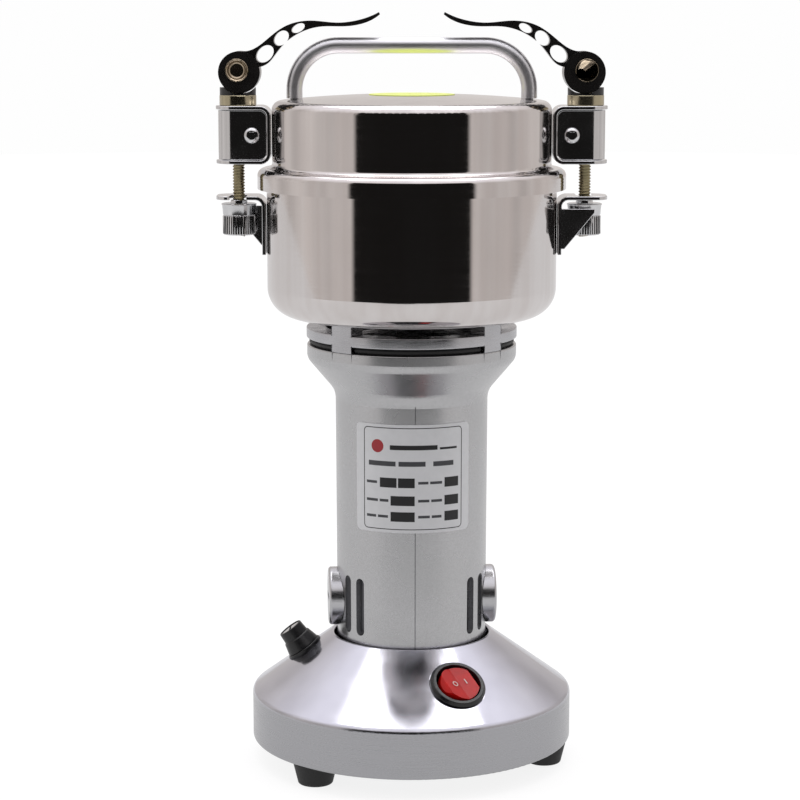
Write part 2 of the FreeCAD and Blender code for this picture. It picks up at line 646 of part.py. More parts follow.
def build_bearings():
    """shielded ball bearings, each one solid with its shields sunk between the races"""
    for name, low in (("lower_bearing", "bracket_seat"), ("upper_bearing", "upper_bearing_seat")):
        turned(name, [
            ("shaft_radius + fit_gap", low), ("6", low), ("6", f"{low} + 0.5"), ("9.3", f"{low} + 0.5"),
            ("9.3", low), ("bearing_radius", low), ("bearing_radius", f"{low} + bearing_width"),
            ("9.3", f"{low} + bearing_width"), ("9.3", f"{low} + bearing_width - 0.5"),
            ("6", f"{low} + bearing_width - 0.5"), ("6", f"{low} + bearing_width"),
            ("shaft_radius + fit_gap", f"{low} + bearing_width")])


def build_fan_collar():
    """slotted cooling collar: ring, four posts, and arms to the upper bearing's hub"""
    inner = "collar_radius - collar_width"
    collar = turned("fan_collar", [(inner, "collar_bottom"), ("collar_radius", "collar_bottom"),
                                   ("collar_radius", "collar_top"), (inner, "collar_top")],
                    [("0.5", [("collar_radius", "collar_bottom"), ("collar_radius", "collar_top")])])
    hub_low, hub_high = "upper_bearing_seat - 0.2", "upper_bearing_seat + bearing_width"
    turn(collar, "collar_hub", [("bearing_radius", hub_low), ("14", hub_low), ("14", "bowl_bottom - 0.4"),
                                ("9", "bowl_bottom - 0.4"), ("9", hub_high), ("bearing_radius", hub_high)])
    post = new_sketch(collar, "collar_post_section", "XZ_Plane")
    post.AttachmentOffset = Placement(Vector(0, 0, 0), Rotation(Vector(0, 1, 0), 45))
    box_outline(post, inner, "rim_top", "collar_radius", "bowl_bottom")
    posts = collar.newObject("PartDesign::Revolution", "collar_post")
    posts.Profile = post
    posts.ReferenceAxis = (post, ["V_Axis"])
    posts.Midplane = True
    posts.setExpression("Angle", cells("post_width / collar_radius * 180 / pi"))
    document.recompute()
    arm = turned_sketch(collar, "collar_arm_plan", "collar_bottom", 45)
    box_outline(arm, "12", "-3.5", "collar_radius - 5", "3.5")
    arms = extrude(collar, "Pad", arm, "collar_top - collar_bottom")
    bore = turned_sketch(collar, "collar_screw_bore", "bowl_bottom", 45)
    circle(bore, "collar_radius - collar_width / 2", "0", "1.75")
    hole = extrude(collar, "Pocket", bore, "10")
    ring_of(collar, [posts, arms, hole], 4)
    place(collar, degrees=size("tower_turn"))


def build_bowl_screws():
    """four screws through the bowl's floor into the collar posts"""
    screws = new_body("bowl_screws")
    for name, radius, low, length in (("shank", "1.7", "bowl_bottom - 9", "11.5"),
                                      ("head", "3.4", "bowl_bottom + bowl_gauge + 0.02", "2.2")):
        sketch = new_sketch(screws, f"bowl_screw_{name}", "XY_Plane", low)
        for bearing in (45, 135, 225, 315):
            spot = f"(collar_radius - collar_width / 2) * {{}}({bearing} * 1deg)"
            circle(sketch, spot.format("cos"), spot.format("sin"), radius)
        extrude(screws, "Pad", sketch, length)
    place(screws, degrees=size("tower_turn"))


def build_label():
    """thin plate bent round the tube"""
    low, high = "label_middle - label_height / 2", "label_middle + label_height / 2"
    angle = 2 * math.degrees(math.asin(size("label_width") / 2 / size(tube_at("label_middle"))))
    label = turned("label_plate", [
        (tube_at(low) + " + 0.03", low), (tube_at(low) + " + 0.35", low),
        (tube_at(high) + " + 0.35", high), (tube_at(high) + " + 0.03", high)], angle=angle)
    finish_edges(label, "Fillet", "2.4", lambda edge: edge.Length < 1)
    place(label, degrees=270 + size("label_turn"))


def build_brush_gear():
    """on each side: a holder in the tube wall, the carbon brush, its spring and the cap"""
    gear = []
    for side, name in ((0, "right"), (180, "left")):
        holder = new_body(f"brush_holder_{name}")
        barrel = new_sketch(holder, f"brush_barrel_{name}", "YZ_Plane", "16")
        circle(barrel, "0", "brush_level", "8")
        box_outline(barrel, "-3.1", "brush_level - 4.6", "3.1", "brush_level + 4.6")
        extrude(holder, "Pad", barrel, "12.5")
        brush = new_body(f"carbon_brush_{name}")
        block = new_sketch(brush, f"brush_block_{name}", "YZ_Plane", "9")
        box_outline(block, "-3.05", "brush_level - 4.55", "3.05", "brush_level + 4.55")
        extrude(brush, "Pad", block, "14")
        arc = new_sketch(brush, f"brush_arc_{name}", "XY_Plane", "brush_level + 6")
        circle(arc, "0", "0", "commutator_radius + fit_gap")
        extrude(brush, "Pocket", arc, "12")
        spring = new_body(f"brush_spring_{name}")
        coil = new_sketch(spring, f"brush_coil_{name}", "YZ_Plane", "23")
        circle(coil, "0", "brush_level", "2.8")
        circle(coil, "0", "brush_level", "2.2")
        extrude(spring, "Pad", coil, "5.9")
        cap = new_body(f"brush_cap_{name}")
        disc = new_sketch(cap, f"cap_disc_{name}", "YZ_Plane", "27")
        circle(disc, "0", "brush_level", "cap_radius")
        extrude(cap, "Pad", disc, "cap_reach - 27")
        saddle = new_sketch(cap, f"cap_saddle_{name}", "XY_Plane", "brush_level + 16")
        circle(saddle, "0", "0", tube_at("brush_level") + " + 0.1")
        extrude(cap, "Pocket", saddle, "32")
        plug = new_sketch(cap, f"cap_plug_{name}", "YZ_Plane", "29")
        circle(plug, "0", "brush_level", "6")
        extrude(cap, "Pad", plug, "3")
        groove = new_sketch(cap, f"cap_slot_{name}", "YZ_Plane", "cap_reach")
        box_outline(groove, "-6.5", "brush_level - 0.9", "6.5", "brush_level + 0.9")
        extrude(cap, "Pocket", groove, "1.4")
        outer = size("cap_reach")
        finish_edges(cap, "Fillet", "1.3", lambda edge: isinstance(edge.Curve, Part.Circle)
                     and abs(edge.CenterOfMass.x - outer) < 0.01 and edge.Curve.Radius > 12)
        for piece in (holder, brush, spring, cap):
            place(piece, degrees=side + size("tower_turn"))
        gear.append((holder, brush, spring, cap))
    for label, pair in zip(("brush_holders", "carbon_brushes", "brush_springs", "brush_caps"), zip(*gear)):
        group(label, pair)


def build_stator():
    core = turned("stator_core", [("stator_bore", "core_bottom"), ("tube_bore - 0.1", "core_bottom"),
                                  ("tube_bore - 0.1", "core_top"), ("stator_bore", "core_top")])
    window = turned_sketch(core, "stator_window", "core_bottom - 1", 45)
    box_outline(window, "21", "-5", "26", "5")
    ring_of(core, [extrude(core, "Pocket", window, "core_top - core_bottom + 2", backward=True)], 4)
    coils = turned("field_winding", [("19.6", "core_bottom - 7"), ("27", "core_bottom - 7"),
                                     ("27", "core_bottom - 0.2"), ("19.6", "core_bottom - 0.2")],
                   [("2", [("27", "core_bottom - 7"), ("19.6", "core_bottom - 7")])])
    turn(coils, "field_winding_top", [("19.6", "core_top + 0.2"), ("27", "core_top + 0.2"),
                                      ("27", "core_top + 7"), ("19.6", "core_top + 7")])
    bar = turned_sketch(coils, "field_bar", "core_bottom - 1", 45)
    box_outline(bar, "21.2", "-4.8", "25.8", "4.8")
    ring_of(coils, [extrude(coils, "Pad", bar, "core_top - core_bottom + 2")], 4)


# Rotor

def build_shaft():
    shaft = turned("motor_shaft", [("0", "bracket_seat - 1.5"), ("shaft_radius", "bracket_seat - 1.5"),
                                   ("shaft_radius", "shaft_top"), ("0", "shaft_top")])
    finish_edges(shaft, "Chamfer", "0.8", rim_at(("shaft_radius", "shaft_top")))


def build_armature():
    core = turned("armature_core", [("shaft_radius", "core_bottom"), ("armature_radius", "core_bottom"),
                                    ("armature_radius", "core_top"), ("shaft_radius", "core_top")])
    groove = new_sketch(core, "armature_slot", "XY_Plane", "core_top + 1")
    box_outline(groove, "11.5", "-1.4", "armature_radius + 1", "1.4")
    ring_of(core, [extrude(core, "Pocket", groove, "core_top - core_bottom + 2")], 12)
    winding = turned("armature_winding", [("8", "core_bottom - 7"), ("15", "core_bottom - 7"),
                                          ("16.5", "core_bottom - 0.1"), ("8", "core_bottom - 0.1")])
    turn(winding, "armature_winding_top", [("8", "core_top + 0.1"), ("16.5", "core_top + 0.1"),
                                           ("15", "core_top + 7"), ("8", "core_top + 7")])
    bar = new_sketch(winding, "armature_bar", "XY_Plane", "core_bottom - 1")
    box_outline(bar, "11.7", "-1.2", "armature_radius - 1", "1.2")
    ring_of(winding, [extrude(winding, "Pad", bar, "core_top - core_bottom + 2")], 12)
    commutator = turned("commutator", [
        ("shaft_radius", "brush_level - 7"), ("commutator_radius", "brush_level - 7"),
        ("commutator_radius", "brush_level + 9"), ("shaft_radius", "brush_level + 9")])
    cut = new_sketch(commutator, "commutator_slot", "XY_Plane", "brush_level + 10")
    box_outline(cut, "commutator_radius - 0.9", "-0.25", "commutator_radius + 1", "0.25")
    ring_of(commutator, [extrude(commutator, "Pocket", cut, "18")], 24)


def build_fan():
    fan = turned("cooling_fan", [("shaft_radius", "fan_top - 11"), ("8", "fan_top - 11"),
                                 ("8", "fan_top - 1.5"), ("fan_radius", "fan_top - 1.5"),
                                 ("fan_radius", "fan_top"), ("8", "fan_top"), ("8", "fan_top + 1.2"),
                                 ("shaft_radius", "fan_top + 1.2")])
    blade = new_sketch(fan, "fan_blade", "XY_Plane", "fan_top - 8.5")
    box_outline(blade, "7", "-0.7", "fan_radius", "0.7")
    ring_of(fan, [extrude(fan, "Pad", blade, "7.5")], 9)


def build_blades():
    """three bars on the shaft, spaced by sleeves and held by a nut"""
    low = "bowl_bottom + bowl_gauge"
    blade = new_body("blade_lower")
    side = new_sketch(blade, "blade_lower_side", "XZ_Plane")
    outline(side, [("-52", f"{low} + 6"), ("52", f"{low} + 6"), ("52", f"{low} + 17"),
                   ("49.5", f"{low} + 17"), ("49.5", f"{low} + 8.5"), ("-49.5", f"{low} + 8.5"),
                   ("-49.5", f"{low} + 17"), ("-52", f"{low} + 17")])
    extrude(blade, "Pad", side, "14", midplane=True)
    bars = [blade]
    for name, length, width, base, gauge in (("hammer_bar", "90", "16", "14.5", "5"),
                                             ("blade_upper", "78", "12", "25", "2.5")):
        bar = new_body(name)
        plan = new_sketch(bar, f"{name}_plan", "XY_Plane", f"{low} + {base}")
        box_outline(plan, f"-{length} / 2", f"-{width} / 2", f"{length} / 2", f"{width} / 2")
        extrude(bar, "Pad", plan, gauge)
        bars.append(bar)
    for step, bar in enumerate(bars):
        hole = new_sketch(bar, f"{bar.Label}_hole", "XY_Plane", f"{low} + 40")
        circle(hole, "0", "0", "shaft_radius")
        extrude(bar, "Pocket", hole, "40")
        place(bar, degrees=20 + 60 * step)
    gaps = (("lower", "2.6", "6"), ("middle", "8.5", "14.5"), ("upper", "19.5", "25"))
    group("blade_sleeves", [
        turned(f"blade_sleeve_{name}", [("shaft_radius", f"{low} + {start}"), ("8", f"{low} + {start}"),
                                        ("8", f"{low} + {end}"), ("shaft_radius", f"{low} + {end}")])
        for name, start, end in gaps])
    nut = new_body("blade_nut")
    six = new_sketch(nut, "blade_nut_plan", "XY_Plane", f"{low} + 27.5")
    corners = [(f"7.5 * cos({60 * step} * 1deg)", f"7.5 * sin({60 * step} * 1deg)") for step in range(6)]
    outline(six, corners)
    circle(six, "0", "0", "shaft_radius")
    extrude(nut, "Pad", six, "5.5")


# Bowl

def build_bowl():
    inner, floor = "bowl_radius - bowl_gauge", "bowl_bottom + bowl_gauge"
    bowl = turned("bowl", [
        ("6.6", "bowl_bottom"), ("bowl_radius", "bowl_bottom"), ("bowl_radius", "bowl_rim - 1.5"),
        ("bowl_radius + 1.9", "bowl_rim - 1.5"), ("bowl_radius + 1.9", "bowl_rim"),
        (inner, "bowl_rim"), (inner, floor), ("6.6", floor)],
        [("bowl_corner", [("bowl_radius", "bowl_bottom")]), ("bowl_corner - bowl_gauge", [(inner, floor)]),
         ("0.6", [("bowl_radius + 1.9", "bowl_rim"), ("bowl_radius + 1.9", "bowl_rim - 1.5")]),
         ("0.7", [(inner, "bowl_rim")])])
    holes = new_sketch(bowl, "bowl_screw_hole", "XY_Plane", f"{floor} + 1")
    for bearing in (45, 135, 225, 315):
        spot = f"(collar_radius - collar_width / 2) * {{}}(({bearing} + tower_turn) * 1deg)"
        circle(holes, spot.format("cos"), spot.format("sin"), "1.9")
    extrude(bowl, "Pocket", holes, "4")
    turned("shaft_seal", [("shaft_radius + fit_gap", "upper_bearing_seat + bearing_width + 0.2"),
                          ("8.8", "upper_bearing_seat + bearing_width + 0.2"), ("8.8", "bowl_bottom - 0.1"),
                          ("6.5", "bowl_bottom - 0.1"), ("6.5", f"{floor} + 1.6"),
                          ("shaft_radius + fit_gap", f"{floor} + 1.6")])


def clamp_side(side):
    """turn of a clamp's own frame, whose +X points from the bolt to the lid"""
    return 0 if side == "left" else 180


def place_clamp(body, side):
    place(body, ("-clamp_reach" if side == "left" else "clamp_reach", "0", "0"), degrees=clamp_side(side))


def build_bowl_brackets():
    """bent bracket on the bowl: web, slotted flange and one triangular cheek"""
    brackets = []
    for side in ("left", "right"):
        bracket = new_body(f"bowl_bracket_{side}")
        face = "clamp_reach - lower_web"
        section = new_sketch(bracket, f"bowl_bracket_section_{side}", "XZ_Plane")
        outline(section, [("-flange_round", "lower_top - strap_gauge"),
                          (f"{face} - strap_gauge", "lower_top - strap_gauge"),
                          (f"{face} - strap_gauge", "lower_bottom"), (face, "lower_bottom"),
                          (face, "lower_top"), ("-flange_round", "lower_top")])
        extrude(bracket, "Pad", section, "strap_width", midplane=True)
        cheek = new_sketch(bracket, f"bowl_bracket_cheek_{side}", "XZ_Plane", "-strap_width / 2")
        outline(cheek, [(f"{face} - 0.5", "lower_bottom + 2.4"), (f"{face} - 0.5", "lower_top - 5"),
                        ("-3.6", "lower_top - 5"), ("-3.6", "lower_top - 6.6"),
                        (f"{face} - strap_gauge - 1.2", "lower_bottom + 2.4")])
        extrude(bracket, "Pad", cheek, "strap_gauge")
        cut = new_sketch(bracket, f"bowl_bracket_slot_{side}", "XY_Plane", "lower_top + 1")
        slot(cut, "0", "-10", "slot_width / 2", "10")
        extrude(bracket, "Pocket", cut, "strap_gauge + 2")
        finish_edges(bracket, "Fillet", "strap_bend", edge_at((face, None, "lower_top")))
        finish_edges(bracket, "Fillet", "strap_bend - strap_gauge",
                     edge_at((f"{face} - strap_gauge", None, "lower_top - strap_gauge")))
        half = "strap_width / 2"
        finish_edges(bracket, "Fillet", "5.4", edge_at(
            ("-flange_round", half, "lower_top - strap_gauge / 2"),
            ("-flange_round", f"-{half}", "lower_top - strap_gauge / 2")))
        place_clamp(bracket, side)
        brackets.append(bracket)
    group("bowl_brackets", brackets)


# Lid

def dome_radius(edge="lid_radius"):
    """sphere that rises by lid_rise from an edge of that radius"""
    return f"((({edge}) ^ 2 + lid_rise ^ 2) / (2 * lid_rise))"


def dome_height(radius):
    """top of the lid at a radius"""
    return f"(lid_brim + lid_rise - {dome_radius()} + sqrt({dome_radius()} ^ 2 - ({radius}) ^ 2))"


def build_lid():
    inner, inside = "lid_radius - lid_gauge", "lid_skirt - lid_gauge"
    lid = turned("lid_cover", [
        ("0", "lid_brim + lid_rise", f"-{dome_radius()}"), ("lid_radius", "lid_brim"),
        ("lid_radius", "lid_shoulder"), ("lid_skirt", "lid_shoulder"), ("lid_skirt", "lid_edge"),
        (inside, "lid_edge"), (inside, "lid_shoulder - lid_gauge"), (inner, "lid_shoulder - lid_gauge"),
        (inner, "lid_brim - lid_gauge", dome_radius(inner)),
        ("0", "lid_brim + lid_rise - lid_gauge")],
        [("4", [("lid_radius", "lid_brim")]), ("2.8", [(inner, "lid_brim - lid_gauge")]),
         ("2", [("lid_radius", "lid_shoulder")]), ("0.8", [(inner, "lid_shoulder - lid_gauge")]),
         ("3", [("lid_skirt", "lid_shoulder")]), ("1.8", [(inside, "lid_shoulder - lid_gauge")])])
    holes = new_sketch(lid, "handle_screw_hole", "XY_Plane", "lid_brim + 10")
    circle(holes, "handle_reach", "0", "2.1")
    circle(holes, "-handle_reach", "0", "2.1")
    extrude(lid, "Pocket", holes, "20")
    turned("lid_gasket", [("lid_radius - lid_gauge + 0.5", "bowl_rim + free_gap + 0.1"),
                          ("lid_skirt - lid_gauge - 0.3", "bowl_rim + free_gap + 0.1"),
                          ("lid_skirt - lid_gauge - 0.3", "lid_shoulder - lid_gauge - 1.9"),
                          ("lid_skirt - lid_gauge - 2.4", "lid_shoulder - lid_gauge - 0.05"),
                          ("lid_radius - lid_gauge + 0.5", "lid_shoulder - lid_gauge - 0.05")])
    middle, edge = dome_height("0"), dome_height("sticker_radius")
    turned("lid_sticker", [
        ("0", f"{middle} + 0.03", f"-{dome_radius()}"), ("sticker_radius", f"{edge} + 0.03"),
        ("sticker_radius", f"{edge} + 0.2", dome_radius()), ("0", f"{middle} + 0.2")])


def build_handle():
    """bent round rod standing on the lid, with a screw up into each leg"""
    handle = new_body("lid_handle")
    foot = f"{dome_height('handle_reach - handle_rod / 2')} + 0.03"
    path = new_sketch(handle, "handle_path", "XZ_Plane")
    bend = size("handle_bend")
    low, high, reach = size(foot), size("handle_height"), size("handle_reach")
    up = Vector(0, 0, 1)
    corners = [Vector(-reach, low, 0), Vector(-reach, high - bend, 0), Vector(-reach + bend, high, 0),
               Vector(reach - bend, high, 0), Vector(reach, high - bend, 0), Vector(reach, low, 0)]
    quarter = math.pi / 2
    left_round = Part.Circle(Vector(-reach + bend, high - bend, 0), up, bend)
    right_round = Part.Circle(Vector(reach - bend, high - bend, 0), up, bend)
    for shape in (Part.LineSegment(corners[0], corners[1]),
                  Part.ArcOfCircle(left_round, quarter, 2 * quarter),
                  Part.LineSegment(corners[2], corners[3]),
                  Part.ArcOfCircle(right_round, 0, quarter),
                  Part.LineSegment(corners[4], corners[5])):
        path.addGeometry(shape, False)
    for rule in ((0, 2, 1, 2), (1, 1, 2, 1), (2, 2, 3, 2), (3, 1, 4, 1)):
        path.addConstraint(Sketcher.Constraint("Tangent", *rule))
    path.addConstraint(Sketcher.Constraint("Equal", 1, 3))
    path.addConstraint(Sketcher.Constraint("Vertical", 0))
    path.addConstraint(Sketcher.Constraint("Horizontal", 2))
    tie(path, "DistanceX", 0, 1, "-handle_reach")
    tie(path, "DistanceY", 0, 1, foot)
    tie(path, "DistanceX", 4, 2, "handle_reach")
    tie(path, "DistanceY", 4, 2, foot)
    tie(path, "DistanceY", 2, 1, "handle_height")
    rule = path.addConstraint(Sketcher.Constraint("Radius", 1, bend))
    path.setExpression(f"Constraints[{rule}]", cells("handle_bend"))
    rod = new_sketch(handle, "handle_rod_section", "XY_Plane", foot)
    circle(rod, "-handle_reach", "0", "handle_rod / 2")
    pipe = handle.newObject("PartDesign::AdditivePipe", "handle_sweep")
    pipe.Profile = rod
    pipe.Spine = (path, [])
    document.recompute()
    bores = new_sketch(handle, "handle_bore", "XY_Plane", foot)
    circle(bores, "-handle_reach", "0", "1.75")
    circle(bores, "handle_reach", "0", "1.75")
    extrude(handle, "Pocket", bores, "9", backward=True)
    screws = new_body("handle_screws")
    under = f"{dome_height('handle_reach + 3.4')} - lid_gauge - 2.3"
    for name, radius, base, length in (("head", "3.4", under, "2.2"),
                                       ("shank", "1.7", f"{under} + 1.5", "8")):
        sketch = new_sketch(screws, f"handle_screw_{name}", "XY_Plane", base)
        circle(sketch, "-handle_reach", "0", radius)
        circle(sketch, "handle_reach", "0", radius)
        extrude(screws, "Pad", sketch, length)


def build_lid_brackets():
    """bent strap on the lid: web and two flanges that the clamp bolt passes through"""
    brackets = []
    for side in ("left", "right"):
        bracket = new_body(f"lid_bracket_{side}")
        face = "clamp_reach - upper_web"
        back = f"{face} - strap_gauge"
        section = new_sketch(bracket, f"lid_bracket_section_{side}", "XZ_Plane")
        outline(section, [("-flange_round", "upper_bottom"), (face, "upper_bottom"), (face, "upper_top"),
                          ("-flange_round", "upper_top"), ("-flange_round", "upper_top - strap_gauge"),
                          (back, "upper_top - strap_gauge"), (back, "upper_bottom + strap_gauge"),
                          ("-flange_round", "upper_bottom + strap_gauge")])
        extrude(bracket, "Pad", section, "strap_width", midplane=True)
        bore = new_sketch(bracket, f"lid_bracket_bore_{side}", "XY_Plane", "upper_top + 1")
        circle(bore, "0", "0", "bolt_size / 2 + 0.4")
        extrude(bracket, "Pocket", bore, "30")
        finish_edges(bracket, "Fillet", "strap_bend",
                     edge_at((face, None, "upper_top"), (face, None, "upper_bottom")))
        finish_edges(bracket, "Fillet", "strap_bend - strap_gauge", edge_at(
            (back, None, "upper_top - strap_gauge"), (back, None, "upper_bottom + strap_gauge")))
        corners = [("-flange_round", f"{sign}strap_width / 2", height) for sign in ("", "-")
                   for height in ("upper_top - strap_gauge / 2", "upper_bottom + strap_gauge / 2")]
        finish_edges(bracket, "Fillet", "flange_round", edge_at(*corners))
        place_clamp(bracket, side)
        brackets.append(bracket)
    group("lid_brackets", brackets)


def build_bands():
    """U-shaped stiffener between the flanges, round outside and flat in front and behind"""
    low, high = "upper_bottom + strap_gauge + 0.3", "upper_top - strap_gauge - 0.3"
    bands = []
    for side in ("left", "right"):
        band = new_body(f"bracket_band_{side}")
        plan = new_sketch(band, f"band_plan_{side}", "XY_Plane", low)
        end = "clamp_reach - upper_web - strap_gauge - 0.1"
        inside = "band_radius - band_gauge"
        outline(plan, [(end, "band_radius"), ("0", "band_radius", "band_radius * 1.000001"),
                       ("0", "-band_radius"), (end, "-band_radius"), (end, f"-({inside})"),
                       ("0", f"-({inside})", f"-({inside}) * 1.000001"), ("0", inside), (end, inside)])
        extrude(band, "Pad", plan, f"{high} - ({low})")
        wall = "band_radius - band_gauge / 2"
        finish_edges(band, "Fillet", "strap_bend - strap_gauge + free_gap", edge_at(
            *[(end, f"{sign}({wall})", height) for sign in ("", "-") for height in (low, high)]))
        bore = new_sketch(band, f"band_bore_{side}", "XZ_Plane")
        circle(bore, "clamp_reach - band_screw", "(upper_top + upper_bottom) / 2", "1.75")
        extrude(band, "Pocket", bore, "30", midplane=True)
        place_clamp(band, side)
        bands.append(band)
    group("bracket_bands", bands)


def build_band_screws():
    """a pan head screw in front and a nut behind, on each band"""
    middle = "(upper_top + upper_bottom) / 2"
    screws = new_body("band_screws")
    nuts = new_body("band_nuts")
    for name, radius, start, length in (("head", "3.2", "band_radius + 0.05", "1.9"),
                                        ("shank", "1.6", "-band_radius - 3", "2 * band_radius + 4")):
        sketch = new_sketch(screws, f"band_screw_{name}", "XZ_Plane", start)
        for sign in ("", "-"):
            circle(sketch, f"{sign}band_screw", middle, radius)
        extrude(screws, "Pad", sketch, length)
    finish_edges(screws, "Fillet", "1.3", lambda edge: isinstance(edge.Curve, Part.Circle)
                 and edge.Curve.Radius > 3 and edge.CenterOfMass.y < -size("band_radius + 1"))
    plan = new_sketch(nuts, "band_nut_plan", "XZ_Plane", "-band_radius - 0.05")
    for sign in ("", "-"):
        outline(plan, [(f"{sign}band_screw + 3.1 * cos({60 * step} * 1deg)",
                        f"{middle} + 3.1 * sin({60 * step} * 1deg)") for step in range(6)])
        circle(plan, f"{sign}band_screw", middle, "1.65")
    extrude(nuts, "Pad", plan, "2.4", backward=True)


def build_clamp_hardware():
    """bolt, pin, zinc ring and saddle washer of each clamp"""
    sets = []
    bolt_top = "pivot_height + 3.3"
    for side in ("left", "right"):
        bolt = turned(f"clamp_bolt_{side}", [("0", "bolt_end"), ("bolt_size / 2", "bolt_end"),
                                             ("bolt_size / 2", bolt_top), ("0", bolt_top)])
        finish_edges(bolt, "Chamfer", "0.6", rim_at(("bolt_size / 2", "bolt_end")))
        pin = new_body(f"pivot_pin_{side}")
        barrel = new_sketch(pin, f"pin_barrel_{side}", "XZ_Plane")
        circle(barrel, "0", "pivot_height", "pin_radius")
        extrude(pin, "Pad", barrel, "pin_length", midplane=True)
        for face, backward in (("pin_length / 2", False), ("-pin_length / 2", True)):
            recess = new_sketch(pin, f"pin_recess_{side}_{backward}", "XZ_Plane", face)
            circle(recess, "0", "pivot_height", "pin_radius - 1.1")
            extrude(pin, "Pocket", recess, "1.5", backward=backward)
        ends, rim = size("pin_length / 2"), size("pin_radius") - 0.1
        finish_edges(pin, "Fillet", "0.5", lambda edge: isinstance(edge.Curve, Part.Circle)
                     and abs(abs(edge.CenterOfMass.y) - ends) < 0.01 and edge.Curve.Radius > rim)
        cross = new_sketch(pin, f"pin_thread_{side}", "XY_Plane", "pivot_height + 8")
        circle(cross, "0", "0", "bolt_size / 2 + 0.03")
        extrude(pin, "Pocket", cross, "16")
        bore = "bolt_size / 2 + 0.4"
        ring = turned(f"clamp_ring_{side}", [
            (bore, "upper_top + 0.03"), ("ring_radius", "upper_top + 0.03"), ("ring_radius", "ring_top"),
            (bore, "ring_top")],
            [("0.4", [("ring_radius", "upper_top + 0.03"), ("ring_radius", "ring_top")])])
        saddle = turned(f"saddle_washer_{side}", [
            (bore, "ring_top + 0.03"), ("ring_radius - 0.15", "ring_top + 0.03"),
            ("ring_radius - 0.15", "saddle_top"), (bore, "saddle_top")])
        trough = new_sketch(saddle, f"saddle_trough_{side}", "XZ_Plane")
        circle(trough, "eye_inward", "pivot_height - eye_down", "eye_radius + free_gap")
        extrude(saddle, "Pocket", trough, "20", midplane=True)
        for piece in (bolt, pin, ring, saddle):
            place_clamp(piece, side)
        sets.append((bolt, pin, ring, saddle))
    for label, pair in zip(("clamp_bolts", "pivot_pins", "clamp_rings", "saddle_washers"), zip(*sets)):
        group(label, pair)


def smooth_curve(points, scale):
    curve = Part.BSplineCurve()
    curve.interpolate([Vector(x * scale, 0, z * scale) for x, z in points])
    return curve.toShape()


def build_levers():
    """cam lever: eccentric forked eye on the pin and a slim waved arm with three oval holes

    The outlines are level and upright distances from the pin on an arm drawn 57.8 long.
    """
    scale = size("arm_length") / 57.8
    upper = [(0.9, 7.6), (6, 8.2), (13.7, 13.6), (20, 17.8), (29.9, 19.8), (40, 19.0), (48, 19.8),
             (57.4, 23.2)]
    lower = [(57.8, 22.3), (50, 18.4), (43, 17.5), (34, 17.4), (25.5, 15.0), (19, 10.5), (15.4, 6.2),
             (12.6, 2.9), (9.2, 1.3)]
    holes = [(11.3, 6.5, 4.1, 2.9, 43), (18, 12.8, 3.5, 2.5, 45), (24.8, 16.8, 2.9, 1.6, 28)]
    eye = Vector(size("eye_inward"), 0, -size("eye_down"))
    along = Vector(0, 1, 0)
    eye_width, arm_width = size("eye_width"), size("arm_width")
    root, upper_end, lower_end, crook = [Vector(x * scale, 0, z * scale)
                                         for x, z in (upper[0], upper[-1], lower[0], lower[-1])]
    wire = Part.Wire([smooth_curve(upper, scale), Part.makeLine(upper_end, lower_end),
                      smooth_curve(lower, scale), Part.makeLine(crook, eye), Part.makeLine(eye, root)])
    arm = Part.Face(wire).extrude(along * arm_width)
    arm.translate(along * (-arm_width / 2))
    for x, z, major, minor, lean in holes:
        oval = Part.Ellipse(Vector(0, 0, 0), major * scale, minor * scale).toShape()
        hole = Part.Face(Part.Wire([oval])).extrude(Vector(0, 0, 2 * arm_width))
        hole.translate(Vector(0, 0, -arm_width))
        turn_up = Rotation(along, -lean) * Rotation(Vector(1, 0, 0), 90)
        hole.Placement = Placement(Vector(x * scale, 0, z * scale), turn_up) * hole.Placement
        arm = arm.cut(hole)
    cam = Part.makeCylinder(size("eye_radius"), eye_width, eye - along * (eye_width / 2), along)
    lever = cam.fuse(arm).removeSplitter()
    bore = Part.makeCylinder(size("pin_radius + fit_gap"), 2 * eye_width, along * -eye_width, along)
    fork = size("bolt_size") + 0.8
    gap = Part.makeBox(30, fork, 40, Vector(-30 + 3.1, -fork / 2, -20))
    lever = lever.cut(bore).cut(gap)
    for side in ("left", "right"):
        piece = document.addObject("Part::Feature", f"cam_lever_{side}")
        piece.Label = f"cam_lever_{side}"
        piece.Shape = lever
        reach = size("clamp_reach") * (-1 if side == "left" else 1)
        piece.Placement = Placement(Vector(reach, 0, size("pivot_height")),
                                    Rotation(Vector(0, 0, 1), clamp_side(side)))


def build_thumb_nuts():
    for side in ("left", "right"):
        nut = turned(f"thumb_nut_{side}", [
            ("bolt_size / 2 + fit_gap", "nut_bottom"), ("nut_radius", "nut_bottom"),
            ("nut_radius", "nut_top - 4"), ("nut_shoulder", "nut_top - 1.6"), ("3.5", "nut_top - 1.3"),
            ("3.5", "nut_top"),
            ("bolt_size / 2 + fit_gap", "nut_top")], [("0.4", [("nut_radius", "nut_bottom")])])
        place_clamp(nut, side)


def build_all():
    build_feet()
    build_foot_screws()
    cut_base_shell(build_base_shell())
    build_base_plate()
    build_base_plate_screws()
    build_switch()
    build_fuse_holder()
    build_cable_inlet()
    build_motor_housing()
    build_housing_screws()
    build_end_bracket()
    build_bearings()
    build_fan_collar()
    build_bowl_screws()
    build_label()
    build_brush_gear()
    build_stator()
    build_shaft()
    build_armature()
    build_fan()
    build_blades()
    build_bowl()
    build_bowl_brackets()
    build_lid()
    build_handle()
    build_lid_brackets()
    build_bands()
    build_band_screws()
    build_clamp_hardware()
    build_levers()
    build_thumb_nuts()


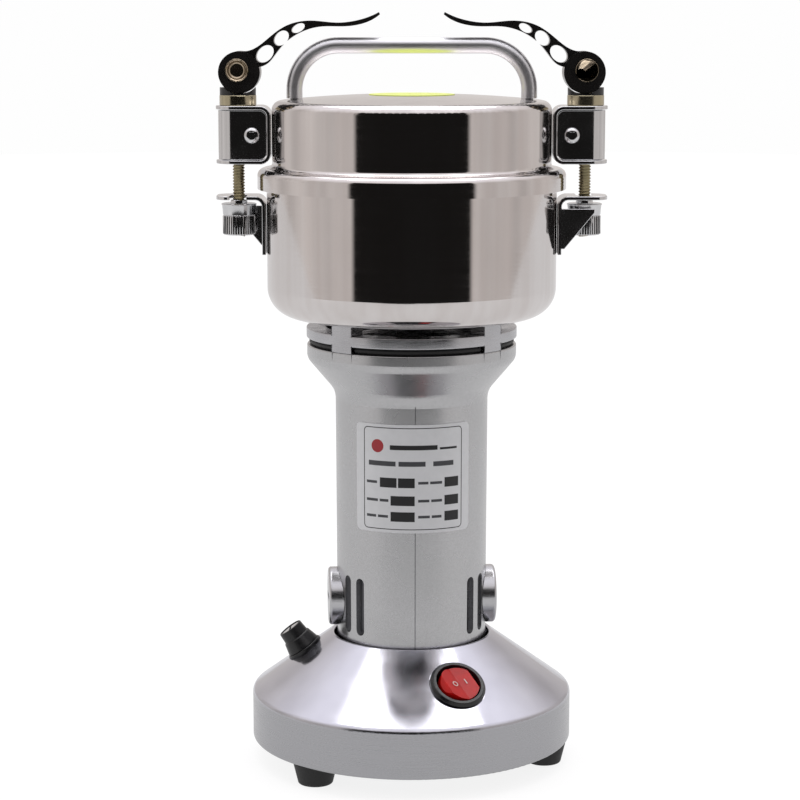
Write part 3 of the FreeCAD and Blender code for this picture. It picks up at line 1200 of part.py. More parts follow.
def sub_parts():
    """every body, shape and group that isn't itself in a group"""
    kinds = ("PartDesign::Body", "Part::Feature", "Part::Compound")
    groups = [item for item in document.Objects if item.TypeId == "Part::Compound"]
    grouped = [member for item in groups for member in item.Links]
    return [item for item in document.Objects if item.TypeId in kinds and item not in grouped]


def check_and_write():
    """stop at any failed feature or bad shape, then write one file for each sub-part"""
    document.recompute()
    failed = [item.Label for item in document.Objects
              if "Invalid" in item.State or "Error" in item.State]
    if failed:
        raise RuntimeError(f"failed objects: {failed}")
    os.makedirs("parts", exist_ok=True)
    for item in sub_parts():
        shape = item.Shape
        if shape.isNull() or not shape.isValid() or not shape.Solids:
            raise RuntimeError(f"{item.Label} has no good shape")
        shape.exportStep(f"parts/{item.Label}.step")
        print(f"{item.Label}: {len(shape.Solids)} solids, {shape.Volume / 1000:.2f} cm3")


build_all()
check_and_write()
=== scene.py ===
import json
import math

import bmesh
import bpy
from mathutils import Matrix, Vector


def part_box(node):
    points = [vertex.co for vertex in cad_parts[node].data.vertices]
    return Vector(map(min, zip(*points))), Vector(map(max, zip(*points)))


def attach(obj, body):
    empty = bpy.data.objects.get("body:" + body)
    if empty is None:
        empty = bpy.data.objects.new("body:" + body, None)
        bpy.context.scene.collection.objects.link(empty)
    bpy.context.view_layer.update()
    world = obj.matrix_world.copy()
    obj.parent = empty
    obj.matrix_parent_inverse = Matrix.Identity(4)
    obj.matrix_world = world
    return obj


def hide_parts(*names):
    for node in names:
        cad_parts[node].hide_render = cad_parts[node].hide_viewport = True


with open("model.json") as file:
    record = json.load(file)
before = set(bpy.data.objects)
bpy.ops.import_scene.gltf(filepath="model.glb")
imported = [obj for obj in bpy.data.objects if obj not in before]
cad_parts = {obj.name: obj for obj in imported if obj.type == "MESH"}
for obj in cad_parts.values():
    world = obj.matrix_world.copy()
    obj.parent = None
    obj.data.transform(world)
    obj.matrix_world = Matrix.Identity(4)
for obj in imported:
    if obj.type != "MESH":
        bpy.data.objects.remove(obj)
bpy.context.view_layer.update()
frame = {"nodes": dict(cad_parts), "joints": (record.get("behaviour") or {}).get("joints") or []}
nodes = frame["nodes"]
mm = 0.001
print("frame loaded:", len(nodes), "nodes")


# Helpers for materials

def linearColour(code):
    channels = [int(code[i:i + 2], 16) / 255 for i in (1, 3, 5)]
    linear = [c / 12.92 if c <= 0.04045 else ((c + 0.055) / 1.055) ** 2.4 for c in channels]
    return (*linear, 1)


def fillSockets(tree, node, inputs):
    for name, value in inputs.items():
        if isinstance(value, bpy.types.NodeSocket):
            tree.links.new(value, node.inputs[name])
        else:
            node.inputs[name].default_value = linearColour(value) if isinstance(value, str) else value


def addNode(holder, kind, inputs=None, output=None, **settings):
    # adds a node to a material or world and gives the output that the next one reads
    node = holder.node_tree.nodes.new("ShaderNode" + kind)
    for name, value in settings.items():
        setattr(node, name, value)
    fillSockets(holder.node_tree, node, inputs or {})
    return node.outputs[output] if output else next(socket for socket in node.outputs if socket.enabled)


def newMaterial(name):
    material = bpy.data.materials.new(name)
    material.use_nodes = True
    return material


def finishMaterial(material, inputs):
    fillSockets(material.node_tree, material.node_tree.nodes["Principled BSDF"], inputs)
    return material


# Materials: sizes of patterns are in millimetres

def mirrorStainless():
    # deep-drawn stainless steel, buffed on a wheel: a warm mirror with faint rings round the axis,
    # coarser than the real polishing lines, to show
    material = newMaterial("mirror polished stainless steel")
    place = addNode(material, "TexCoord", output="Object")
    haze = addNode(material, "TexNoise", {"Vector": place, "Scale": 1 / (22 * mm), "Detail": 3})
    spun = addNode(material, "Mapping", {"Vector": place, "Scale": (0.15, 0.15, 12)})
    rings = addNode(material, "TexNoise", {"Vector": spun, "Scale": 1 / (9 * mm)})
    upright = addNode(material, "Mapping", {"Vector": place, "Scale": (1, 1, 0.03)})
    streaks = addNode(material, "TexNoise", {"Vector": upright, "Scale": 1 / (7 * mm), "Detail": 2})
    steel = addNode(material, "Mix", {"Factor": haze, "A": "#D2CDCB", "B": "#DFDBDA"}, data_type="RGBA")
    drawn = addNode(material, "MapRange", {"Value": streaks, "From Min": 0.35, "From Max": 0.65,
                                           "To Min": 0.0, "To Max": 0.5})
    return finishMaterial(material, {
        "Metallic": 1,
        "Base Color": addNode(material, "Mix", {"Factor": drawn, "A": steel, "B": "#CAC2BF"},
                              data_type="RGBA"),
        "Roughness": addNode(material, "MapRange", {"Value": rings, "From Min": 0.3, "From Max": 0.7,
                                                    "To Min": 0.05, "To Max": 0.095}),
        "Normal": addNode(material, "Bump", {"Height": rings, "Distance": 0.0008 * mm}),
    })


def platedMetal(name, low, high, sheen=(0.07, 0.15), grain=3.5, depth=0.004):
    # a metal skin over metal: colour clouds a little, the gloss varies where it was handled
    material = newMaterial(name)
    place = addNode(material, "TexCoord", output="Object")
    peel = addNode(material, "TexNoise", {"Vector": place, "Scale": 1 / (grain * mm), "Detail": 2})
    worn = addNode(material, "TexNoise", {"Vector": place, "Scale": 1 / (14 * mm), "Detail": 3})
    return finishMaterial(material, {
        "Metallic": 1,
        "Base Color": addNode(material, "Mix", {"Factor": worn, "A": low, "B": high}, data_type="RGBA"),
        "Roughness": addNode(material, "MapRange", {"Value": worn, "From Min": 0.3, "From Max": 0.7,
                                                    "To Min": sheen[0], "To Max": sheen[1]}),
        "Normal": addNode(material, "Bump", {"Height": peel, "Distance": depth * mm}),
    })


def polishedAluminium():
    # cast aluminium: buffed bright and a little wavy on the cone, turned to a satin on the skirt
    material = newMaterial("polished cast aluminium")
    place = addNode(material, "TexCoord", output="Object")
    height = addNode(material, "SeparateXYZ", {"Vector": place}, output="Z")
    onCone = addNode(material, "MapRange", {"Value": height, "From Min": 27.6 * mm, "From Max": 29.8 * mm})
    spun = addNode(material, "Mapping", {"Vector": place, "Scale": (0.2, 0.2, 6)})
    rings = addNode(material, "TexNoise", {"Vector": spun, "Scale": 1 / (3 * mm), "Detail": 3})
    waves = addNode(material, "TexNoise", {"Vector": place, "Scale": 1 / (13 * mm), "Detail": 1.5})
    skirt = addNode(material, "MapRange", {"Value": rings, "From Min": 0.3, "From Max": 0.7,
                                           "To Min": 0.2, "To Max": 0.3})
    cone = addNode(material, "MapRange", {"Value": waves, "From Min": 0.3, "From Max": 0.7,
                                          "To Min": 0.09, "To Max": 0.17})
    relief = addNode(material, "Mix", {"Factor": onCone, "A": rings, "B": waves}, data_type="FLOAT")
    tone = addNode(material, "Mix", {"Factor": waves, "A": "#BDBDC6", "B": "#CFCFD7"}, data_type="RGBA")
    return finishMaterial(material, {
        "Metallic": 1,
        "Base Color": addNode(material, "Mix", {"Factor": onCone, "A": "#AEAEB1", "B": tone},
                              data_type="RGBA"),
        "Roughness": addNode(material, "Mix", {"Factor": onCone, "A": skirt, "B": cone}, data_type="FLOAT"),
        "Normal": addNode(material, "Bump", {"Height": relief, "Distance": 0.03 * mm}),
    })


def silverLacquer(name, low, high):
    # aluminium lacquer sprayed on a die casting: satin gloss, slight orange peel, and flake that is
    # coarser than real, to show
    material = newMaterial(name)
    place = addNode(material, "TexCoord", output="Object")
    flakes = addNode(material, "TexVoronoi", {"Vector": place, "Scale": 1 / (0.35 * mm)}, output="Color")
    flake = addNode(material, "SeparateXYZ", {"Vector": flakes})
    cloud = addNode(material, "TexNoise", {"Vector": place, "Scale": 1 / (25 * mm), "Detail": 3})
    peel = addNode(material, "TexNoise", {"Vector": place, "Scale": 1 / (2.2 * mm), "Detail": 3})
    return finishMaterial(material, {
        "Metallic": 1,
        "Base Color": addNode(material, "Mix", {"Factor": flake, "A": low, "B": high}, data_type="RGBA"),
        "Roughness": addNode(material, "MapRange", {"Value": cloud, "From Min": 0.3, "From Max": 0.7,
                                                    "To Min": 0.23, "To Max": 0.3}),
        "Normal": addNode(material, "Bump", {"Height": peel, "Distance": 0.006 * mm}),
    })


def turnedAluminium(name, low, high, sheen):
    # machined on a lathe: a soft satin shine and tool rings, coarser than real, to show
    material = newMaterial(name)
    place = addNode(material, "TexCoord", output="Object")
    spun = addNode(material, "Mapping", {"Vector": place, "Scale": (0.3, 0.3, 6)})
    rings = addNode(material, "TexNoise", {"Vector": spun, "Scale": 1 / (2.4 * mm), "Detail": 2})
    cloud = addNode(material, "TexNoise", {"Vector": place, "Scale": 1 / (11 * mm), "Detail": 2})
    return finishMaterial(material, {
        "Metallic": 1,
        "Base Color": addNode(material, "Mix", {"Factor": cloud, "A": low, "B": high}, data_type="RGBA"),
        "Roughness": addNode(material, "MapRange", {"Value": rings, "From Min": 0.3, "From Max": 0.7,
                                                    "To Min": sheen[0], "To Max": sheen[1]}),
        "Normal": addNode(material, "Bump", {"Height": rings, "Distance": 0.003 * mm}),
    })


def blackEnamel():
    # zinc casting with stoved enamel: deep black, even gloss, slight orange peel, browner where it is thin
    material = newMaterial("black stoved enamel")
    place = addNode(material, "TexCoord", output="Object")
    cloud = addNode(material, "TexNoise", {"Vector": place, "Scale": 1 / (6 * mm), "Detail": 3})
    peel = addNode(material, "TexNoise", {"Vector": place, "Scale": 1 / (1.8 * mm), "Detail": 2})
    return finishMaterial(material, {
        "Coat Weight": 0.4,
        "Coat Roughness": 0.12,
        "Base Color": addNode(material, "Mix", {"Factor": cloud, "A": "#0E0D0D", "B": "#1A1817"},
                              data_type="RGBA"),
        "Roughness": addNode(material, "MapRange", {"Value": cloud, "To Min": 0.2, "To Max": 0.34}),
        "Normal": addNode(material, "Bump", {"Height": peel, "Distance": 0.01 * mm}),
    })


def mouldedPolymer(name, low, high, gloss, grit):
    # rubber or plastic that keeps the spark-eroded grain of its mould, coarser than real, to show
    material = newMaterial(name)
    place = addNode(material, "TexCoord", output="Object")
    grain = addNode(material, "TexNoise", {"Vector": place, "Scale": 1 / (grit * mm), "Detail": 3})
    return finishMaterial(material, {
        "Base Color": addNode(material, "Mix", {"Factor": grain, "A": low, "B": high}, data_type="RGBA"),
        "Roughness": addNode(material, "MapRange", {"Value": grain, "From Min": 0.3, "From Max": 0.7,
                                                    "To Min": gloss - 0.06, "To Max": gloss + 0.1}),
        "Normal": addNode(material, "Bump", {"Height": grain, "Distance": 0.02 * mm}),
    })


def redRocker():
    # clear red polycarbonate over a dark inside: saturated, glossy, a little light passes through
    material = newMaterial("red polycarbonate")
    place = addNode(material, "TexCoord", output="Object")
    cloud = addNode(material, "TexNoise", {"Vector": place, "Scale": 1 / (4 * mm), "Detail": 1})
    return finishMaterial(material, {
        "IOR": 1.45,
        "Subsurface Weight": 0.12,
        "Subsurface Scale": 1.5 * mm,
        "Specular IOR Level": 0.35,
        "Base Color": addNode(material, "Mix", {"Factor": cloud, "A": "#9E0806", "B": "#C4100B"},
                              data_type="RGBA"),
        "Roughness": addNode(material, "MapRange", {"Value": cloud, "To Min": 0.2, "To Max": 0.3}),
    })


def printedFilm(name, low, high, dull=0.35):
    # ink or foil on a plastic film: nearly even, with a slight mottle
    material = newMaterial(name)
    place = addNode(material, "TexCoord", output="Object")
    mottle = addNode(material, "TexNoise", {"Vector": place, "Scale": 1 / (3 * mm), "Detail": 2})
    return finishMaterial(material, {
        "Base Color": addNode(material, "Mix", {"Factor": mottle, "A": low, "B": high}, data_type="RGBA"),
        "Roughness": addNode(material, "MapRange", {"Value": mottle, "To Min": dull - 0.06,
                                                    "To Max": dull + 0.1}),
    })


def fuseGlass():
    # thin clear glass with a cloudy inside
    material = newMaterial("fuse glass")
    place = addNode(material, "TexCoord", output="Object")
    dust = addNode(material, "TexNoise", {"Vector": place, "Scale": 1 / (2 * mm)})
    return finishMaterial(material, {
        "Transmission Weight": 0.9,
        "IOR": 1.5,
        "Base Color": addNode(material, "Mix", {"Factor": dust, "A": "#DDE5E4", "B": "#EEF3F2"},
                              data_type="RGBA"),
        "Roughness": addNode(material, "MapRange", {"Value": dust, "To Min": 0.02, "To Max": 0.12}),
    })


materials = {
    "stainless": mirrorStainless(),
    "bright": platedMetal("bright nickel plate", "#CDCDCE", "#DADADB"),
    "satin": platedMetal("satin ground steel", "#DCDCDF", "#E8E8EA", (0.33, 0.4), 3.5, 0.001),
    "pin": platedMetal("bronze tinted nickel plate", "#A3947E", "#BDAE98", (0.12, 0.2)),
    "aluminium": polishedAluminium(),
    "silver": silverLacquer("silver lacquer", "#B5B5B6", "#BFBFC0"),
    # the mould seam's darker lacquer colour is painted shade along the seam line
    "seam": silverLacquer("lacquer with painted shade along the mould seam", "#6E6E70", "#7A7A7C"),
    "collar": turnedAluminium("turned aluminium casting", "#ADADB0", "#C2C2C5", (0.22, 0.34)),
    "cap": turnedAluminium("satin aluminium cap", "#B5B5B7", "#C3C3C5", (0.2, 0.26)),
    "enamel": blackEnamel(),
    "rubber": mouldedPolymer("black rubber", "#0F0F10", "#1B1B1C", 0.55, 0.7),
    "nylon": mouldedPolymer("black glass-filled nylon", "#0A0A0B", "#141416", 0.32, 0.5),
    "gloss": mouldedPolymer("black polycarbonate", "#08080A", "#101012", 0.2, 1.2),
    "fibre": mouldedPolymer("grey insulating fibre", "#6A6B6E", "#7E7F83", 0.5, 0.8),
    "carbon": mouldedPolymer("pressed carbon", "#161616", "#232323", 0.5, 0.4),
    "silicone": mouldedPolymer("milky silicone", "#CFCFC8", "#DCDCD6", 0.45, 1.0),
    "red": redRocker(),
    "bolt": platedMetal("greenish zinc plate", "#7F775B", "#958B6D", (0.2, 0.3)),
    "zinc": platedMetal("pale yellow zinc plate", "#A59C82", "#C2B99E", (0.16, 0.28)),
    "steel": platedMetal("plain steel", "#8E9093", "#A9ABAE", (0.28, 0.38)),
    "blade": platedMetal("ground stainless steel", "#B5B6B8", "#CBCCCE", (0.16, 0.26)),
    "dark": platedMetal("blued lamination", "#4A4C50", "#63656A", (0.36, 0.48)),
    "brass": platedMetal("drawn brass", "#C2A055", "#D6B870", (0.2, 0.3)),
    "copper": platedMetal("varnished copper wire", "#9A5230", "#B8693F", (0.3, 0.42), 0.8, 0.05),
    "label": printedFilm("silver foil label", "#C9CACC", "#D4D5D7"),
    "ink": printedFilm("black label ink", "#0C0C0E", "#161618"),
    "greyInk": printedFilm("grey label ink", "#333437", "#424347"),
    "redInk": printedFilm("red label ink", "#8E1E26", "#A32B32"),
    "sticker": printedFilm("pale green sticker", "#E2F06E", "#EDF78C", 0.4),
    "white": printedFilm("white marking paint", "#CFC3C0", "#E2D8D4", 0.4),
    "glass": fuseGlass(),
}

nodeFinish = {
    "stainless": "lid_cover bowl",
    "bright": "bowl_brackets lid_brackets bracket_bands band_screws thumb_nut_left thumb_nut_right "
              "fuse_cap_contact",
    "satin": "lid_handle",
    "pin": "pivot_pins",
    "aluminium": "base_shell",
    "silver": "motor_housing",
    "collar": "fan_collar end_bracket",
    "cap": "brush_caps",
    "enamel": "cam_lever_left cam_lever_right",
    "rubber": "feet shaft_seal",
    "nylon": "fuse_holder fuse_nut cable_inlet inlet_nut saddle_washers fuse_cap cooling_fan",
    "gloss": "switch_housing",
    "red": "switch_rocker",
    "bolt": "clamp_bolts",
    "zinc": "clamp_rings",
    "steel": "foot_screws base_plate base_plate_screws housing_screws end_bracket_screws lower_bearing "
             "upper_bearing bowl_screws brush_springs handle_screws band_nuts motor_shaft blade_sleeves "
             "blade_nut",
    "blade": "blade_lower hammer_bar blade_upper",
    "dark": "stator_core armature_core",
    "brass": "switch_terminals brush_holders",
    "copper": "field_winding armature_winding commutator",
    "carbon": "carbon_brushes",
    "label": "label_plate",
    "sticker": "lid_sticker",
    "silicone": "lid_gasket",
    "glass": "fuse_tube",
}

for finish, names in nodeFinish.items():
    for name in names.split():
        mesh = nodes[name].data
        mesh.materials.clear()
        mesh.materials.append(materials[finish])
print("materials made:", len(materials))


# Helpers for meshes

upright = Vector((0, 0, 1))
standUp = Matrix.Rotation(math.pi / 2, 3, "X")  # turns a flat outline to face the front
clampReach = sum(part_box("thumb_nut_right")[k][0] for k in (0, 1)) / 2 / mm  # mm, clamp bolt from the axis


def newPiece(name, bm, body, finish, replaces=(), crease=35):
    bmesh.ops.recalc_face_normals(bm, faces=bm.faces)
    mesh = bpy.data.meshes.new(name)
    bm.to_mesh(mesh)
    bm.free()
    mesh.polygons.foreach_set("use_smooth", [True] * len(mesh.polygons))
    mesh.set_sharp_from_angle(angle=math.radians(crease))
    mesh.materials.append(materials[finish])
    piece = bpy.data.objects.new(name, mesh)
    bpy.context.scene.collection.objects.link(piece)
    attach(piece, body)
    if replaces:
        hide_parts(*replaces)
    return piece


def ringLoop(bm, radius, height, count):
    made = bmesh.ops.create_circle(bm, segments=count, radius=radius * mm)["verts"]
    bmesh.ops.translate(bm, verts=made, vec=upright * height * mm)
    return made


def bridgeRings(bm, lower, upper):
    both = set(lower) | set(upper)
    edges = {edge for vert in both for edge in vert.link_edges
             if edge.other_vert(vert) in both and not edge.is_manifold}
    bmesh.ops.bridge_loops(bm, edges=list(edges))


def stackRings(bm, sizes, count):
    # rings of (radius, height) joined one to the next; the first and last stay open
    rings = [ringLoop(bm, radius, height, count) for radius, height in sizes]
    for lower, upper in zip(rings, rings[1:]):
        bridgeRings(bm, lower, upper)
    return rings


def turnedShape(bm, profile, steps, start, sweep):
    # closed outline of (radius, height) swept part of the way round the upright axis, from start, in degrees
    verts = [bm.verts.new((radius * mm, 0, height * mm)) for radius, height in profile]
    edges = [bm.edges.new(pair) for pair in zip(verts, verts[1:] + verts[:1])]
    bmesh.ops.rotate(bm, verts=verts, cent=(0, 0, 0), matrix=Matrix.Rotation(math.radians(start), 3, "Z"))
    bmesh.ops.contextual_create(bm, geom=edges)
    swept = bmesh.ops.spin(bm, geom=verts + edges, cent=(0, 0, 0), axis=upright, dvec=(0, 0, 0),
                           angle=math.radians(sweep), steps=steps, use_merge=False, use_duplicate=False)
    lastEdges = [item for item in swept["geom_last"] if isinstance(item, bmesh.types.BMEdge)]
    bmesh.ops.contextual_create(bm, geom=lastEdges)


def toClamp(bm, side, verts=None):
    # from a clamp's own place, with +X towards the lid, to the left or right of the bowl
    verts = verts or bm.verts
    bmesh.ops.translate(bm, verts=verts, vec=(-clampReach * mm, 0, 0))
    if side == "right":
        bmesh.ops.rotate(bm, verts=verts, cent=(0, 0, 0), matrix=Matrix.Rotation(math.pi, 3, "Z"))


def softenedCopy(node, name, body, finish, width):
    # the node's own shape with its sharp edges broken, as tumbling and plating leave them
    bm = bmesh.new()
    bm.from_mesh(nodes[node].data)
    bmesh.ops.remove_doubles(bm, verts=bm.verts, dist=0.002 * mm)
    bmesh.ops.dissolve_limit(bm, angle_limit=math.radians(0.5), verts=bm.verts, edges=bm.edges)
    piece = newPiece(name, bm, body, finish, (node,))
    bevel = piece.modifiers.new("broken edges", "BEVEL")
    bevel.width = width * mm
    bevel.segments = 2
    bevel.limit_method = "ANGLE"
    bevel.angle_limit = math.radians(50)
    bevel.use_clamp_overlap = False


# Clamps

thread = {
    "radius": 2.5, "depth": 0.5,
    "pitch": 1.2,  # coarser than the real 0.8 mm, to show
    "steps": 20,  # round one turn
    "below": 0.6, "plain": 1.6,  # plain lengths: under the thread, and both ends together
    "flanks": (0.4, 0.55, 0.95),  # crest start, crest end and root, as shares of the pitch
}


def makeClampBolts():
    low, high = (corner[2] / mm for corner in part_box("clamp_bolts"))
    bm = bmesh.new()
    for side in ("left", "right"):
        turns = int((high - low - thread["plain"]) / thread["pitch"])
        root, crest, step = thread["radius"] - thread["depth"], thread["radius"], thread["pitch"]
        rise, fall, foot = thread["flanks"]
        outline = [(root, 0), (crest, rise * step), (crest, fall * step), (root, foot * step), (root, step)]
        start = low + thread["below"]
        verts = [bm.verts.new((radius * mm, 0, (start + height) * mm)) for radius, height in outline]
        edges = [bm.edges.new(pair) for pair in zip(verts, verts[1:])]
        bmesh.ops.spin(bm, geom=verts + edges, cent=(0, 0, 0), axis=upright,
                       dvec=(0, 0, step / thread["steps"] * mm), angle=2 * math.pi * turns,
                       steps=thread["steps"] * turns, use_merge=False, use_duplicate=False)
        # the bolt just made stands on the axis, and the one before it is out at its clamp
        made = [vert for vert in bm.verts if abs(vert.co.x) < 10 * mm]
        bmesh.ops.remove_doubles(bm, verts=made, dist=0.004 * mm)
        made = [vert for vert in bm.verts if abs(vert.co.x) < 10 * mm]
        rims = list({edge for vert in made for edge in vert.link_edges if edge.is_boundary})
        bmesh.ops.holes_fill(bm, edges=rims, sides=0)
        toClamp(bm, side, made)
    newPiece("threaded_clamp_bolts", bm, "lid", "bolt", ("clamp_bolts",), 50)


knurl = {"ribs": 38, "perRib": 4, "depth": 0.38, "height": 7.6, "bore": 2.55, "body": 6.75, "shoulder": 7.25}


def makeThumbNut(side):
    node = "thumb_nut_" + side
    low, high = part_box(node)
    bottom, top = low[2] / mm, high[2] / mm
    body, shoulder, bore = knurl["body"], knurl["shoulder"], knurl["bore"]
    bm = bmesh.new()
    count = knurl["ribs"] * knurl["perRib"]
    grip = stackRings(bm, [(body - 0.5, bottom), (body, bottom + 0.45), (body, bottom + knurl["height"]),
                           (body - knurl["depth"], bottom + knurl["height"] + 0.35)], count)
    for ring in grip[1:3]:
        for step, vert in enumerate(ring):
            if step % knurl["perRib"] >= knurl["perRib"] / 2:
                vert.co.xy *= (body - knurl["depth"]) / body
    neck = bottom + knurl["height"] + 0.35
    rest = stackRings(bm, [(body - knurl["depth"], neck), (body - 0.12, neck + 0.35), (body, top - 4),
                           (shoulder - 0.25, top - 2.1), (shoulder, top - 1.85), (shoulder - 0.1, top - 1.55),
                           (shoulder - 0.6, top - 1.35), (3.5, top - 1.3), (3.4, top - 0.2), (3.2, top),
                           (bore, top), (bore, bottom), (body - 0.5, bottom)], count)
    bmesh.ops.remove_doubles(bm, verts=grip[0] + grip[-1] + rest[0] + rest[-1], dist=0.001 * mm)
    toClamp(bm, side)
    newPiece("knurled_nut_" + side, bm, side + "_nut", "bright", (node,), 32)


bandScrew = {
    "head": 3.2, "shank": 1.6, "face": 8.15,  # radii, and how far the head's seat stands in front of the axis
    "tail": 2.8, "segments": 48,
    "lobes": 6, "lobeDepth": 0.16, "socket": 0.86,
}


def makeBandScrews():
    # pan heads with a six-lobed socket, one in front on each bracket
    low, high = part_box("band_screws")
    head, shank, front = bandScrew["head"], bandScrew["shank"], bandScrew["face"]
    reach = (high[0] - low[0]) / 2 / mm - head
    level = (low[2] + high[2]) / 2
    bm = bmesh.new()
    for sign in (-1, 1):
        rings = stackRings(bm, [(shank, -2 * front - bandScrew["tail"]), (shank, 0), (head, 0), (head, 0.55),
                                (3.0, 1.15), (2.5, 1.6), (1.9, 1.85), (1.62, 1.9), (1.5, 1.84), (1.45, 0.75)],
                           bandScrew["segments"])
        for ring in rings[-2:]:
            for vert in ring:
                turn = math.atan2(vert.co.y, vert.co.x)
                lobe = 1 + bandScrew["lobeDepth"] * math.cos(bandScrew["lobes"] * turn)
                vert.co.xy *= lobe * bandScrew["socket"]
        for ring in (rings[0], rings[-1]):
            bmesh.ops.contextual_create(bm, geom=ring)
        made = [vert for ring in rings for vert in ring]
        bmesh.ops.rotate(bm, verts=made, cent=(0, 0, 0), matrix=standUp)
        bmesh.ops.translate(bm, verts=made, vec=(sign * reach * mm, -front * mm, level))
    newPiece("socket_band_screws", bm, "lid", "bright", ("band_screws",), 40)


def makeClamps():
    makeClampBolts()
    makeBandScrews()
    for side in ("left", "right"):
        makeThumbNut(side)
    softenedCopy("lid_brackets", "lid_brackets_finished", "lid", "bright", 0.22)
    softenedCopy("bracket_bands", "bracket_bands_finished", "lid", "bright", 0.2)
    softenedCopy("pivot_pins", "pivot_pins_finished", "lid", "pin", 0.9)
    softenedCopy("bowl_brackets", "bowl_brackets_finished", "stand", "bright", 0.22)


# Tower: label printing, mould seam, black ring as painted shade in the collar gaps, vent liner

label = {
    "middle": 124, "bearing": 271, "lift": 0.36,
    "taper": (31, 31.5, 39.5, 156),  # tube radius below and above, and their heights
    "frame": (21.4, 21.0, 1.8, 0.35),  # half width, half height, corner, line
    "disc": (-15.0, 13.3, 2.7),
    "blackBars": ((-9.6, 10.0, 12.9, 1.9), (11.0, 18.8, 12.4, 0.9)),
    "greyBars": ((-19.0, -7.2, 6.2, 2.0), (-6.0, 5.0, 6.2, 2.0), (8.2, 17.2, 6.2, 2.0),
                 (-20.0, -15.2, -1.6, 1.1), (2.0, 6.2, -1.6, 1.1), (6.9, 12.0, -1.6, 1.1),
                 (-20.0, -14.8, -9.0, 1.1), (-14.0, -10.2, -9.0, 1.1), (2.0, 6.6, -9.0, 1.1),
                 (7.4, 12.0, -9.0, 1.1), (-20.0, -15.6, -15.6, 1.1), (-14.8, -10.4, -15.6, 1.1),
                 (2.0, 6.8, -15.6, 1.1), (7.6, 11.8, -15.6, 1.1)),
    "blocks": ((-13.9, -6.8, -1.6, 4.0), (-6.2, 0.6, -1.6, 4.0), (13.1, 19.6, -1.6, 4.0),
               (-9.3, 0.6, -9.0, 4.0), (13.1, 19.6, -9.0, 4.0),
               (-9.3, 0.6, -15.6, 4.0), (13.1, 19.6, -15.6, 4.0)),
    "cuts": 20, "cutStep": 1.1,  # upright cuts each side of the middle, so that the print follows the tube
    "ink": 0.03,
}


def tubeRadius(height):
    lower, upper, start, end = label["taper"]
    return lower + (upper - lower) * (height - start) / (end - start)


def bendToTube(bm):
    # X becomes the way round the tube and Z stays the height
    for vert in bm.verts:
        height = label["middle"] + vert.co.z / mm
        radius = tubeRadius(height) + label["lift"]
        turn = math.radians(label["bearing"]) + vert.co.x / mm / radius
        vert.co = Vector((radius * math.cos(turn), radius * math.sin(turn), height)) * mm


def printPlate(bm, left, right, tall, corner=0.0, line=0.0):
    # flat plate round the middle, with round corners, or only its outline
    made = bmesh.ops.create_grid(bm, x_segments=1, y_segments=1, size=0.5)["verts"]
    bmesh.ops.scale(bm, verts=made, vec=((right - left) * mm, tall * mm, 1))
    face = made[0].link_faces[0]
    if corner:
        bmesh.ops.bevel(bm, geom=made, offset=corner * mm, offset_type="OFFSET", segments=5, profile=0.5,
                        affect="VERTICES", material=-1)
        face = max(bm.faces, key=lambda f: f.calc_area())
    if line:
        bmesh.ops.inset_region(bm, faces=[face], thickness=line * mm, use_even_offset=True,
                               use_boundary=True)
        bmesh.ops.delete(bm, geom=[face], context="FACES")


def makeLabelPrint():
    width, height, corner, line = label["frame"]
    groups = {"ink": [*label["blackBars"], *label["blocks"]], "greyInk": label["greyBars"]}
    for finish, plates in groups.items():
        bm = bmesh.new()
        for left, right, middle, tall in plates:
            before = set(bm.verts)
            printPlate(bm, left, right, tall)
            made = [vert for vert in bm.verts if vert not in before]
            bmesh.ops.rotate(bm, verts=made, cent=(0, 0, 0), matrix=standUp)
            bmesh.ops.translate(bm, verts=made, vec=((left + right) / 2 * mm, 0, middle * mm))
        finishPrint(bm, "label_" + finish, finish)
    bm = bmesh.new()
    printPlate(bm, -width, width, 2 * height, corner, line)
    bmesh.ops.rotate(bm, verts=bm.verts, cent=(0, 0, 0), matrix=standUp)
    finishPrint(bm, "label_frame_line", "ink")
    bm = bmesh.new()
    across, up, radius = label["disc"]
    bmesh.ops.create_circle(bm, cap_ends=True, segments=40, radius=radius * mm)
    bmesh.ops.rotate(bm, verts=bm.verts, cent=(0, 0, 0), matrix=standUp)
    bmesh.ops.translate(bm, verts=bm.verts, vec=(across * mm, 0, up * mm))
    finishPrint(bm, "label_disc", "redInk")


def finishPrint(bm, name, finish):
    for step in range(-label["cuts"], label["cuts"] + 1):
        bmesh.ops.bisect_plane(bm, geom=[*bm.verts, *bm.edges, *bm.faces], dist=0.001 * mm,
                               plane_co=(step * label["cutStep"] * mm, 0, 0), plane_no=(1, 0, 0))
    bendToTube(bm)
    bmesh.ops.recalc_face_normals(bm, faces=bm.faces)
    bmesh.ops.solidify(bm, geom=bm.faces, thickness=label["ink"] * mm)
    newPiece(name, bm, "stand", finish)


seam = {"width": 0.35, "depth": 0.3, "length": 103, "middle": 104.5, "sunk": 0.1, "cuts": 24, "bearing": 2.5}


def makeSeam():
    # flash line left by the two halves of the casting die; the ridge is modelled, and its lacquer is drawn
    # darker than the silver as painted shade along the line
    bm = bmesh.new()
    bmesh.ops.create_cube(bm, size=1)
    bmesh.ops.scale(bm, verts=bm.verts, vec=(seam["width"] * mm, seam["depth"] * mm, seam["length"] * mm))
    tall = [edge for edge in bm.edges if abs(edge.verts[0].co.z - edge.verts[1].co.z) > mm]
    bmesh.ops.subdivide_edges(bm, edges=tall, cuts=seam["cuts"])
    for vert in bm.verts:
        height = vert.co.z / mm + seam["middle"]
        vert.co.y = -tubeRadius(height) * mm + vert.co.y + seam["sunk"] * mm
        vert.co.z = height * mm
    bmesh.ops.rotate(bm, verts=bm.verts, cent=(0, 0, 0),
                     matrix=Matrix.Rotation(math.radians(seam["bearing"]), 3, "Z"))
    newPiece("mould_seam_painted_shade", bm, "stand", "seam")


